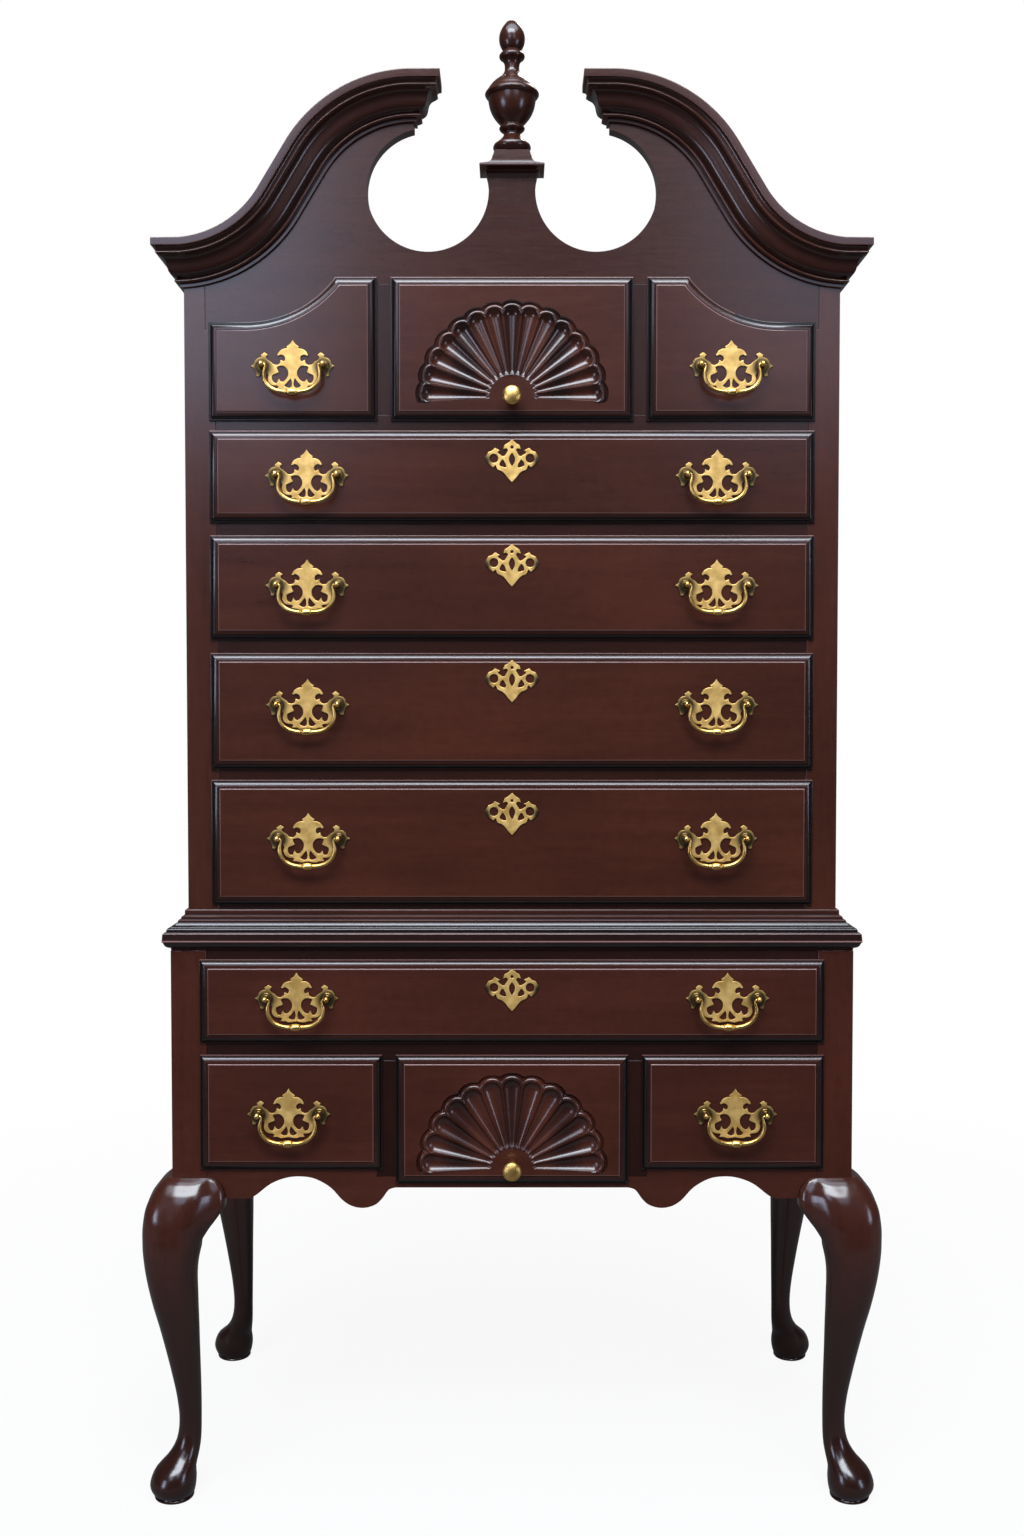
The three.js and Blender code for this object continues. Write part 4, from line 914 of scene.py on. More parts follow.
# %% Make the drawers
FAN_RISE = {"top_centre": 32.0, "lower_centre": 24.4}
FAN_FLUTES = {"top_centre": 15, "lower_centre": 13}
FAN_RADIUS = 0.138
FAN_RIM = 0.011
FAN_HUB = {"top_centre": 0.0295, "lower_centre": 0.0265}
FAN_OVER_SWEEP = 0.06
FAN_FILL = 0.89
BOX_CLEARANCE = 8.0
BOX_DROP = 1.2
drawer_names = ["top_left", "top_centre", "top_right", "long_1", "long_2", "long_3", "long_4", "lower_long",
                "lower_left", "lower_centre", "lower_right"]
LOWER_LEDGE = 21.5
fan_places = {}
for number, name in enumerate(drawer_names):
    lower = name.startswith("lower")
    x0, x1, _, y1, z0, z1 = box_mm("drawer_" + name)
    front = UPPER_FRONT - (LOWER_LEDGE if lower else 0.0)
    wood = lower_across if lower else upper_across
    body = name + "_drawer"
    fan = None
    outline = rectangle(x0, x1, z0, z1)
    box_top = z1 - BOX_INSET - BOX_CLEARANCE
    if name in ("top_left", "top_right"):
        side = -1 if name == "top_left" else 1
        outline = hollow_corner(side, min(abs(x0), abs(x1)), max(abs(x0), abs(x1)), z0, z1)
        box_top = z0 + CORNER_HEIGHT - BOX_INSET - BOX_CLEARANCE
    if name in FAN_RISE:
        fan_z = z0 + FAN_RISE[name]
        fan_front = front - FIELD_FORWARD
        fan_places[name] = (fan_front, fan_z)
        half_pitch = (math.pi / 2 + FAN_OVER_SWEEP) / FAN_FLUTES[name]
        reach = (FAN_RADIUS - FAN_RIM) / (1 + math.tan(half_pitch * FAN_FILL))
        fan = grown_mesh(carved_fan, {
            "Flutes": FAN_FLUTES[name], "Front": fan_front * MM, "Height": fan_z * MM, "Finish": wood,
            "Reach": reach, "Hub": FAN_HUB[name], "Rim": FAN_RIM, "Over sweep": FAN_OVER_SWEEP,
            "Fill": FAN_FILL,
        })
    face = Shape()
    add_drawer_front(face, outline, front, PLANK["drawer"] + DRAWER_PLANK_STEP * number, fan)
    label = "drawer_" + name
    piece(label + "_front", mesh_of(label + "_front", face), wood, body, (label,))
    tray = drawer_box(label + "_box", x0 + BOX_INSET, x1 - BOX_INSET, front + CORE_THICKNESS, y1,
                      z0 + BOX_INSET - BOX_DROP, box_top)
    piece(label + "_box", tray, plain_deep, body, (label,))
print("drawers:", len(drawer_names), "with fans:", len(fan_places))


# %% [markdown]
# The front of each case is a frame of sticks: upright stiles with the rails and dividers between them. One
# block per stick, each with softened edges and the grain along its length, lets the joints show as fine
# lines, where a single sawn-out plate would not. The rails' places are read from the drawers they part.

# %% Upper front frame
FRAME_THICKNESS = 22.0
STILE_WIDTH = 44.0
LIP = 9.0
JOINT = 0.15
# Painted shade on the rails and dividers, for the shadow that the drawers' lips cast on them
RAIL_SHADE = 0.55
RUNNER_WIDTH = 38.0
RUNNER_THICKNESS = 18.0
GUIDE_HEIGHT = 24.0
_, upper_half, _, upper_back, upper_foot, _ = box_mm("upper_side_right")
upper_open = upper_half - STILE_WIDTH
drawer_boxes = {name: box_mm("drawer_" + name) for name in drawer_names}
top_z0, top_z1 = drawer_boxes["top_centre"][4:6]
corner_z = top_z0 + CORNER_HEIGHT
CROWN_RISE = 187.5
CROWN_LAP = 50.0
crown_foot = top_z0 + CROWN_RISE
frame_back = UPPER_FRONT + FRAME_THICKNESS


def add_frame_piece(shape, x0, x1, z0, z1, plank):
    add_block(shape, x0, x1, UPPER_FRONT, frame_back, z0, z1, plank, RAIL_SHADE)


rails = Shape()
foot = upper_foot
levels = []
for number, name in enumerate(["long_4", "long_3", "long_2", "long_1", "top_centre"]):
    z0, z1 = drawer_boxes[name][4:6]
    add_frame_piece(rails, JOINT - upper_open, upper_open - JOINT, foot, z0 + LIP, PLANK["rail"] + number)
    levels.append(z0 + LIP)
    foot = z1 - LIP
piece("upper_rails", mesh_of("upper_rails", rails, merge=False), upper_across, "case",
      ("upper_face_frame",), soften=0.5)
dividers = Shape()
top_inner = drawer_boxes["top_centre"][1] - LIP
top_outer = drawer_boxes["top_right"][0] + LIP
for side in (-1, 1):
    x0, x1 = sorted((side * (top_inner + JOINT), side * (top_outer - JOINT)))
    add_frame_piece(dividers, x0, x1, top_z0 + LIP + JOINT, top_z1 - LIP - JOINT, PLANK["divider"] + side)
print("upper rails:", len(levels), "levels", [round(v) for v in levels])


# %% [markdown]
# The swan-neck line is a hollow arc from the case's corner, a straight, and a round arc that comes level at
# the scroll's end. The crown moulding, the board behind it and the tops of the stiles all follow it, so it
# is worked out once, as a path of stations that can be read at any height above its lower edge.

# %% Swan-neck line
CROWN_HEIGHT = 61.0
SWAN_OVERHANG = 11.0
SWAN_RISE = 232.5
SWAN_END = 139.0
SWAN_STEP = 0.035
SWAN_STRAIGHT_STEPS = 6
SWAN_LOW_SHARE = 0.5627
SWAN_HIGH_SHARE = 0.4045
swan_span = arc_radius(upper_half + SWAN_OVERHANG - SWAN_END, SWAN_RISE)
swan_low = SWAN_LOW_SHARE * swan_span
swan_high = SWAN_HIGH_SHARE * swan_span
low_centre = (upper_half + SWAN_OVERHANG, crown_foot + swan_low)
high_centre = (SWAN_END, crown_foot + SWAN_RISE - swan_high)


def swan_stations():
    run = low_centre[0] - high_centre[0]
    drop = low_centre[1] - high_centre[1]
    lean = math.atan2(drop, run)
    slope = math.asin((swan_low + swan_high) / math.hypot(run, drop)) - lean
    start = math.asin(SWAN_OVERHANG / (swan_low - CROWN_HEIGHT))
    first = math.ceil((slope - start) / SWAN_STEP)
    second = math.ceil(slope / SWAN_STEP)
    stations = [("low", start + (slope - start) * k / first) for k in range(first + 1)]
    stations += [("between", slope, k / SWAN_STRAIGHT_STEPS) for k in range(1, SWAN_STRAIGHT_STEPS)]
    stations += [("high", slope * (1 - k / second)) for k in range(second + 1)]
    return stations


def swan_point(station, rise):
    angle = station[1]
    low_radius = swan_low - rise
    high_radius = swan_high + rise
    low = (low_centre[0] - low_radius * math.sin(angle), low_centre[1] - low_radius * math.cos(angle))
    high = (high_centre[0] + high_radius * math.sin(angle), high_centre[1] + high_radius * math.cos(angle))
    if station[0] == "low":
        return low
    if station[0] == "high":
        return high
    t = station[2]
    return tuple(a + (b - a) * t for a, b in zip(low, high))


stations = swan_stations()
print("swan-neck stations:", len(stations))


# %% [markdown]
# The pediment is one wide board between the stiles. Two round openings are sawn out below the scrolls and
# leave a waisted neck for the finial. Its ends stand in notches of the stiles, so a fine joint runs up from
# each top drawer's corner to the crown.

# %% Pediment board and stiles
ROUNDEL_RADIUS = 86.6
ROUNDEL_REACH = 119.6
ROUNDEL_RISE = 138.5
NECK_RISE = 163.0
# The whole pediment board is made darker by an even share
PEDIMENT_DARKENING = 0.30
STILE_NOTCH = 14.0
neck_top = crown_foot + NECK_RISE
lap_line = [swan_point(station, CROWN_LAP) for station in stations]
notch = upper_open + STILE_NOTCH
board_end = notch - 2 * JOINT
stile_line = [(x, z) for x, z in lap_line if x > notch]
board_line = [(x, z) for x, z in lap_line if x < board_end]
stile_cut = (notch, board_line[0][1] + (stile_line[-1][1] - board_line[0][1])
             * (notch - board_line[0][0]) / (stile_line[-1][0] - board_line[0][0]))


def pediment_half():
    inner = drawer_boxes["top_right"][0]
    rise = top_z1 - top_z0 - CORNER_HEIGHT
    run = upper_open + LIP - CORNER_FLAT - inner - CORNER_INNER_FLAT
    full = arc_radius(run, rise)
    centre = (upper_open + LIP - CORNER_FLAT, corner_z + full)
    radius = full + LIP
    top = top_z1 - LIP
    start = -math.degrees(math.pi - math.asin((centre[1] - top) / radius))
    roundel = (ROUNDEL_REACH, crown_foot + ROUNDEL_RISE)
    tip = math.degrees(math.acos((SWAN_END - ROUNDEL_REACH) / ROUNDEL_RADIUS))
    neck = math.degrees(math.asin((neck_top - roundel[1]) / ROUNDEL_RADIUS))
    points = [(0, top), *arc(centre, radius, start, -90, 28), (board_end, corner_z - LIP)]
    points += [(board_end, stile_cut[1]), *board_line]
    points += arc(roundel, ROUNDEL_RADIUS, tip, -180 - neck, 110)
    return points + [(0, neck_top)]


outline = both_halves(pediment_half())
pediment = Shape()
add_outline_board(pediment, outline, UPPER_FRONT, frame_back, PLANK["pediment"], PEDIMENT_DARKENING)
piece("pediment", mesh_of("pediment", pediment), upper_across, "case", ("pediment_board",),
      soften=0.8)
shoulder = corner_z - LIP - 2 * JOINT
for side in (-1, 1):
    points = [(upper_open, upper_foot), (upper_half, upper_foot), (upper_half, crown_foot + CROWN_LAP)]
    points += [*stile_line, stile_cut, (notch, shoulder), (upper_open, shoulder)]
    stile = [(side * x, z) for x, z in points]
    add_outline_board(dividers, stile, UPPER_FRONT, frame_back, PLANK["stile"] + side)
piece("upper_stiles", mesh_of("upper_stiles", dividers, merge=False), upper_upright, "case",
      ("upper_face_frame", "pediment_board"), soften=0.5)
print("pediment outline points:", len(outline))


# %% [markdown]
# Inside the case each drawer slides on two runners with a guide beside it. They are plain wood, and they show
# when a drawer stands open. The joiner's model has them in one solid with the frame, so they are placed by
# the same levels here.

# %% Upper runners
SIDE_THICKNESS = 20.0
BACK_THICKNESS = 9.0
CASE_BOTTOM = 20.0
SHAVED = 0.02
runners = Shape()
run_back = upper_back - BACK_THICKNESS - SEAT_GAP
guide_reach = upper_half - SIDE_THICKNESS - SEAT_GAP


def add_runner(shape, side, inner, outer, front, back, foot, top):
    x0, x1 = sorted((side * inner, side * outer))
    add_block(shape, x0, x1, front, back, foot, top)


for level in levels:
    foot = level - RUNNER_THICKNESS
    for side in (-1, 1):
        add_runner(runners, side, upper_open - RUNNER_WIDTH, upper_open, frame_back, run_back, foot, level)
        add_runner(runners, side, upper_open, guide_reach, frame_back + SEAT_GAP, run_back, foot,
                   level + GUIDE_HEIGHT)
top_level = levels[-1]
foot = top_level - RUNNER_THICKNESS
for side in (-1, 1):
    add_runner(runners, side, top_inner, top_outer, frame_back, run_back, foot, top_level + GUIDE_HEIGHT)
    inner, outer = top_inner - RUNNER_WIDTH / 2, top_outer + RUNNER_WIDTH / 2
    add_runner(runners, side, inner, outer, frame_back, run_back, foot, top_level - SHAVED)
board_top = levels[0] - RUNNER_THICKNESS
add_block(runners, -guide_reach, guide_reach, frame_back, run_back, board_top - CASE_BOTTOM, board_top)
piece("upper_runners", mesh_of("upper_runners", runners, merge=False), plain_deep, "case",
      ("upper_face_frame",), soften=0.6)
print("runners:", len(levels) * 2)


# %% [markdown]
# A crown moulding is planed from a length of wood, but the carver cuts its curved part from a thick board.
# Its section is a fascia on top, a small cove and bead, a long cyma, another bead and a fillet. One skin
# follows the side of the case, turns the mitre, climbs the swan-neck and turns in at the end. Each point of a
# section gives how far it stands out, its rise and its painted light: painted shade in the hollows and on
# the long cyma, which faces down, and painted highlights on the beads and arrises.

# %% Mouldings
# Painted shade on the long cyma, which faces down
CYMA_SHADE = 0.45


# One half wave between two points is a round or a hollow, and two of them are a cyma
def curve_between(start, end, bulge, steps, dark=(0.0, 0.0), waves=1):
    run, rise = end[0] - start[0], end[1] - start[1]
    length = math.hypot(run, rise)
    points = []
    for k in range(1, steps + 1):
        t = k / steps
        swell = bulge * math.sin(waves * math.pi * t)
        points.append((start[0] + run * t + rise / length * swell, start[1] + rise * t - run / length * swell,
                       dark[0] + (dark[1] - dark[0]) * t))
    return points


def crown_section():
    section = [(SEAT_GAP, 0.0, 0.6), (3.6, 0.0, 0.3), (4.1, 0.6, 0.0), (4.1, 4.3, 0.6), (6.8, 5.0, 0.7)]
    section += curve_between((6.8, 5.0), (7.4, 11.2), 4.0, 8, (-0.2, 0.5))
    section += [(8.2, 12.2, 0.75)]
    section += curve_between((8.2, 12.2), (30.6, 39.6), 3.1, 20, (CYMA_SHADE, CYMA_SHADE), waves=2)
    section += [(30.8, 40.3, 0.7)]
    section += curve_between((30.8, 40.3), (31.4, 44.3), 2.2, 6, (-0.2, 0.1))
    section += [(31.6, 45.0, 0.75)]
    section += curve_between((31.6, 45.0), (37.6, 50.0), -1.6, 6, (0.5, 0.1))
    section += [(38.0, 50.2, -0.3), (38.3, 50.5, -0.5), (38.5, 51.2, 0.2), (38.5, 59.8, 0.2)]
    section += [(38.4, 60.5, -0.5), (37.9, CROWN_HEIGHT, -0.3), (SEAT_GAP, CROWN_HEIGHT, 0.0)]
    return section


def moulding(rings, section, plank):
    shape = Shape()
    add_loft(shape, rings, [dark for _ in rings for *_, dark in section], plank)
    shape.along = along_rings(rings)
    return shape


def crown(side):
    section = crown_section()
    corner = [(side * (upper_half + out), crown_foot + rise) for out, rise, _ in section]
    rings = [[(x, upper_back, z) for x, z in corner],
             [(x, UPPER_FRONT - out, z) for (x, z), (out, *_) in zip(corner, section)]]
    for station in stations[:-1]:
        ring = []
        for out, rise, _ in section:
            x, z = swan_point(station, rise)
            ring.append((side * x, UPPER_FRONT - out, z))
        rings.append(ring)
    end_z = crown_foot + SWAN_RISE
    tip = [(side * (SWAN_END - out), end_z + rise) for out, rise, _ in section]
    rings.append([(x, UPPER_FRONT - out, z) for (x, z), (out, *_) in zip(tip, section)])
    rings.append([(x, frame_back, z) for x, z in tip])
    return moulding(rings, section, PLANK["crown"] + side)


for side, word in ((-1, "left"), (1, "right")):
    name = "crown_" + word
    piece(name, mesh_of(name, crown(side), sharp=38), upper_moulding, "case",
          ("crown_moulding_" + word,))
print("crown section points:", len(crown_section()))


# %% [markdown]
# The waist moulding hides the joint between the two cases. It is the same job with straight runs and two
# mitres. From the top down it has three small steps, a hollow, a small round, a flat band between two
# arrises, and a larger round on a small fillet. The arrises get painted highlights that also stand for
# rubbed wear, and the rest gets painted shade, darkest in the hollows and on the band.

# %% Waist moulding
def waist_section():
    section = [(SEAT_GAP, 0.0, 0.8), (20.2, 0.0, 0.6), (21.0, 0.8, 0.5), (21.2, 3.2, 0.6)]
    section += curve_between((21.2, 3.2), (30.4, 11.6), 2.0, 8, (0.85, 0.85))
    section += [(31.2, 12.3, 0.6), (31.8, 13.0, -0.7), (32.0, 13.8, -0.9), (31.9, 14.8, -0.8)]
    section += [(31.7, 15.4, 0.75), (31.0, 24.0, 0.75)]
    section += [(30.7, 24.7, -0.5), (30.2, 25.1, -0.8), (29.4, 25.3, -0.4), (28.9, 25.3, 0.9)]
    section += [(26.7, 25.7, 0.9), (26.4, 26.3, 0.9), (26.3, 29.0, 0.9)]
    section += curve_between((26.3, 29.0), (23.2, 32.1), 0.9, 6, (0.88, 0.88))
    section += [(21.0, 32.4, 0.95), (20.7, 33.0, 0.95)]
    section += curve_between((20.7, 33.0), (14.0, 38.0), -1.5, 8, (0.88, 0.88))
    section += [(12.6, 38.8, 0.7), (12.4, 41.6, 0.2), (11.8, 42.2, 0.0)]
    section += [(8.6, 43.0, 0.7), (8.4, 46.2, 0.2), (7.8, 46.8, 0.0)]
    section += [(4.4, 48.6, 0.7), (4.2, 55.2, 0.0), (3.6, 56.0, 0.0), (SEAT_GAP, 56.0, 0.6)]
    return section


waist_z0 = box_mm("waist_moulding")[4]
section = waist_section()
rings = []
for side, mitred in ((-1, False), (-1, True), (1, True), (1, False)):
    rings.append([(side * (upper_half + out), UPPER_FRONT - out if mitred else upper_back, waist_z0 + rise)
                  for out, rise, _ in section])
waist = moulding(rings, section, PLANK["waist"])
piece("waist", mesh_of("waist", waist, sharp=30), lower_moulding, "case",
      ("waist_moulding",))
print("waist section points:", len(section))


# %% [markdown]
# The finial is turned between centres: an urn on a waisted stem, with a bud above it. Its section is a list
# of radii up the axis, smoothed between the sharp turner's cuts, and spun into a skin. The plinth below it
# has four sides: a thin cap with a hollow bed moulding under it, and a sweep above it that ends in a small
# block. Each row of its section gives a half width, a half depth, a rise and a painted shade. Both pieces
# carry at least an even share of painted shade.

# %% Finial and plinth
FINIAL_SHADE = 0.3
PLINTH_HEIGHT = 27.6
finial_section = [
    (0.0, 0.0, 1), (20.0, 0.0, 1), (23.4, 3.0), (26.4, 7.6), (26.8, 10.6), (25.6, 13.6, 1), (21.0, 17.1),
    (15.4, 22.3), (12.0, 27.1), (12.2, 30.9, 1), (16.2, 33.5), (18.3, 36.9), (16.2, 40.3, 1), (16.6, 41.9),
    (22.4, 48.5), (27.6, 55.9), (31.4, 64.5), (33.4, 73.5), (33.8, 79.3, 1), (36.6, 81.1), (38.5, 84.5),
    (36.8, 87.9, 1), (34.6, 90.7), (31.4, 95.5), (26.4, 101.1), (18.8, 107.1, 1), (15.6, 109.5),
    (11.2, 116.1), (10.3, 122.5), (11.2, 128.3), (14.0, 133.1, 1), (17.2, 135.1), (18.2, 138.7),
    (16.0, 142.1, 1), (13.6, 144.9), (12.4, 146.5, 1), (15.0, 149.7), (17.6, 155.9), (18.4, 163.1),
    (17.4, 169.9), (14.4, 176.9), (10.2, 182.9), (6.2, 187.1), (0.0, 189.5, 1),
]
plinth_foot = neck_top + SEAT_GAP
plinth_middle = UPPER_FRONT + FRAME_THICKNESS / 2


def plinth_section():
    section = [(36.8, 11.6, 0.0, 0.4), (37.4, 12.6, 0.5, 0.1), (38.0, 13.6, 0.8, 0.7)]
    for k in range(1, 7):
        angle = math.pi / 2 * k / 6
        hollow = 1 - math.cos(angle)
        section.append((38.0 + 6.4 * hollow, 13.6 + 10.8 * hollow, 0.8 + 3.1 * math.sin(angle), 0.0))
    section += [(44.9, 25.2, 4.0, 0.7), (45.7, 26.5, 4.4, 0.0), (46.0, 27.0, 5.1, 0.0)]
    section += [(46.0, 27.0, 7.4, 0.0), (45.4, 26.6, 8.2, 0.0), (36.4, 25.4, 9.6, 0.3)]
    for k in range(1, 9):
        angle = math.pi / 2 * k / 8
        drawn_in = math.sin(angle)
        section.append((36.2 - 8.6 * drawn_in, 25.3 - 0.8 * drawn_in, 9.8 + 9.2 * (1 - math.cos(angle)), 0.0))
    return section + [(27.0, 24.4, 19.4, 0.3), (24.6, 24.1, 26.9, 0.0), (24.0, 23.6, PLINTH_HEIGHT, 0.0)]


plinth = Shape()
rings = [[(x * across, plinth_middle + y * deep, plinth_foot + rise)
          for x, y in ((-1, -1), (1, -1), (1, 1), (-1, 1))] for across, deep, rise, _ in plinth_section()]
shades = [max(dark, FINIAL_SHADE) for *_, dark in plinth_section() for _ in range(4)]
add_loft(plinth, rings, shades, PLANK["plinth"])
piece("plinth", mesh_of("plinth", plinth, sharp=30), upper_across, "case",
      ("finial_plinth",))
finial_foot = plinth_foot + PLINTH_HEIGHT + SEAT_GAP
turned = flowing(finial_section, steps=5)
finial = Shape()
add_turning(finial, [(max(r, 0.0), h, FINIAL_SHADE) for r, h in turned],
            lambda x, y, z: (x, plinth_middle + y, finial_foot + z), 64)
piece("finial_turning", mesh_of("finial_turning", finial, sharp=38), upper_upright, "case",
      ("finial",))
print("finial rings:", len(turned))


# %% [markdown]
# A cabriole leg bends twice: out at the knee and in at the ankle, above a ball foot on a pad. It is sawn from
# a square post along the same curve on two faces and then rounded with a spokeshave. Each row gives a height,
# how far the leg stands out past the case there, how far it reaches in, and how square its section is.

# %% Leg profile
POST_SIZE = 50.5
KNEE_TOP = 466.7
WING_REACH = 26.0
WING_DROP = 32.0
WING_TAIL = 53.0
leg_profile = [
    (0.0, 26.0, 26.5, 2.0), (2.6, 28.2, 28.0, 2.0), (3.4, 26.4, 27.0, 2.0), (8.0, 29.8, 28.8, 2.0),
    (18.0, 34.1, 31.0, 2.0), (30.0, 32.4, 31.6, 2.0), (42.0, 26.3, 30.6, 2.0), (55.0, 12.6, 32.6, 2.0),
    (68.0, 3.4, 34.5, 2.0), (85.0, -2.1, 35.4, 2.0), (101.0, -3.6, 35.6, 2.0), (137.0, -1.1, 35.8, 2.1),
    (174.0, 5.2, 35.6, 2.2), (211.0, 12.5, 35.2, 2.3), (248.0, 20.4, 35.0, 2.4), (285.0, 29.0, 34.6, 2.5),
    (343.0, 38.8, 36.0, 2.6), (376.0, 41.6, 43.0, 2.7), (390.0, 41.5, 45.5, 2.8), (411.0, 39.8, 48.5, 3.0),
    (425.0, 36.6, 49.5, 3.2), (441.0, 29.7, 50.0, 3.6), (454.0, 21.5, 50.2, 4.2), (462.0, 14.5, 50.3, 5.0),
    (466.7, 7.0, 50.4, 6.0),
]


def smooth_columns(rows, heights):
    table = np.array(rows, float)
    z = table[:, 0]
    result = []
    for column in range(1, table.shape[1]):
        v = table[:, column]
        slope = np.gradient(v, z)
        index = np.clip(np.searchsorted(z, heights, side="right") - 1, 0, len(z) - 2)
        step = z[index + 1] - z[index]
        t = (heights - z[index]) / step
        a, b = v[index], v[index + 1]
        m, n = slope[index] * step, slope[index + 1] * step
        t2, t3 = t * t, t ** 3
        curve = (2 * t3 - 3 * t2 + 1) * a + (t3 - 2 * t2 + t) * m + (3 * t2 - 2 * t3) * b + (t3 - t2) * n
        result.append(curve)
    return result


def wing_reach_at(heights):
    tip = KNEE_TOP - WING_DROP
    top = np.clip((heights - tip) / WING_DROP, 0, 1)
    above = WING_REACH * np.sqrt(1 - top ** 2)
    drops = np.array([0.0, 0.2, 0.46, 0.72, 1.0, 1.3]) * WING_TAIL
    reaches = np.array([1.0, 0.98, 0.64, 0.2, -0.16, -0.6]) * WING_REACH
    below = np.interp(tip - heights, drops, reaches)
    return np.where(heights >= tip, above, below)


print("leg profile rows:", len(leg_profile))


# %% [markdown]
# The knee's wings are glued on beside the post and carved into one flowing surface, so a section there is a
# soft union of the leg and two arms. A distance function says how far a point lies outside that union, and
# halving the interval again and again finds the place on each ray from the post's centre where it is zero.
# In a leg's own coordinates a runs outwards in X and b outwards in Y, both from the case's corner.

# %% Leg sections
CHISEL_WAVE = 0.45
KNEE_LIFT = 0.74
WING_ROOT = -22.0
WING_SEAT = -10.0
FARTHEST = 130.0
HALVINGS = 34
LEG_SIDES = 88


def soft_union(first, second, blend):
    share = np.clip(0.5 + 0.5 * (second - first) / blend, 0, 1)
    return second + (first - second) * share - blend * share * (1 - share)


def round_box(px, py, x0, x1, y0, y1, radius):
    cx, cy = (x0 + x1) / 2, (y0 + y1) / 2
    dx = np.abs(px - cx) - (x1 - x0) / 2 + radius
    dy = np.abs(py - cy) - (y1 - y0) / 2 + radius
    outside = np.hypot(np.maximum(dx, 0), np.maximum(dy, 0))
    return outside + np.minimum(np.maximum(dx, dy), 0) - radius


def leg_heights():
    foot = [0, 1.2, 2.6, 3.4, 5.0, 8, 12, 16, 20, 25, 30, 36, 42, 48, 55, 61, 68, 76, 85, 93, 101]
    shank = np.linspace(110, 372, 34)
    knee = np.linspace(378, 430, 16)
    cap = KNEE_TOP - WING_DROP * (1 - np.sin(np.linspace(0, math.pi / 2, 18)))
    return np.concatenate([np.array(foot, float), shank, knee, cap])


def leg_sections(with_front_wing):
    heights = leg_heights()
    out, inward, power = smooth_columns(leg_profile, heights)
    reach = wing_reach_at(heights)
    proud = np.interp(heights, [380, 396, 412, 434, 452, KNEE_TOP], [14, 14, 13, 11.5, 9.0, 4.5])
    centre_out = (out - inward) / 2
    half = (out + inward) / 2
    blend_to_post = np.clip((heights - 340) / 60, 0, 1)
    origin = centre_out * (1 - blend_to_post) + (-POST_SIZE / 2) * blend_to_post
    angles = np.linspace(0, 2 * math.pi, LEG_SIDES, endpoint=False)
    cos, sin = np.cos(angles), np.sin(angles)
    z_col = heights[:, None]

    def field(radius):
        a = origin[:, None] + radius * cos
        b = origin[:, None] + radius * sin
        ra = np.abs(a - centre_out[:, None]) / half[:, None]
        rb = np.abs(b - centre_out[:, None]) / half[:, None]
        p = power[:, None]
        size = (ra ** p + rb ** p) ** (1 / p)
        leg = (size - 1) * half[:, None]
        arm = POST_SIZE + reach[:, None]
        rounding = np.minimum(7.0, 0.45 * proud)[:, None]
        lift = np.maximum(KNEE_LIFT * out - proud, 0)[:, None]
        side_lift = lift * (1 - np.clip(-b / arm, 0, 1) ** 2)
        front_lift = lift * (1 - np.clip(-a / arm, 0, 1) ** 2)
        side_arm = round_box(a - side_lift, b, WING_ROOT, proud[:, None], -arm, WING_SEAT, rounding)
        front_arm = round_box(a, b - front_lift, -arm, WING_SEAT, WING_ROOT, proud[:, None], rounding)
        bend = np.interp(z_col, [370, 400, 445, KNEE_TOP], [10.0, 22.0, 22.0, 8.0])
        gone = z_col < KNEE_TOP - WING_DROP - 1.25 * WING_TAIL
        joined = np.where(gone, leg, soft_union(leg, side_arm, bend))
        if with_front_wing:
            joined = np.where(gone, joined, soft_union(joined, front_arm, bend))
        limit = np.maximum(-a, -b) - arm
        return np.maximum(joined, np.where(gone, -1e9, limit))

    near = np.zeros((len(heights), LEG_SIDES))
    far = np.full((len(heights), LEG_SIDES), FARTHEST)
    for _ in range(HALVINGS):
        middle = (near + far) / 2
        inside = field(middle) < 0
        near = np.where(inside, middle, near)
        far = np.where(inside, far, middle)
    carved = CHISEL_WAVE * np.clip((heights - 360) / 40, 0, 1) * np.clip((KNEE_TOP - heights) / 12, 0, 1)
    waves = np.sin(z_col / 8.5 + 2.2 * np.sin(2 * angles)) * np.sin(5 * angles + z_col / 16)
    radius = (near + far) / 2 - carved[:, None] * (1 + waves)
    return heights, origin[:, None] + radius * cos, origin[:, None] + radius * sin


print("leg sections:", len(leg_heights()), "points round:", LEG_SIDES)


# %% [markdown]
# Four legs come from the same sections, mirrored. A front leg has two wings, and a rear leg only the one
# under the side. The post above the knee is a plain square stick inside the case's corner.

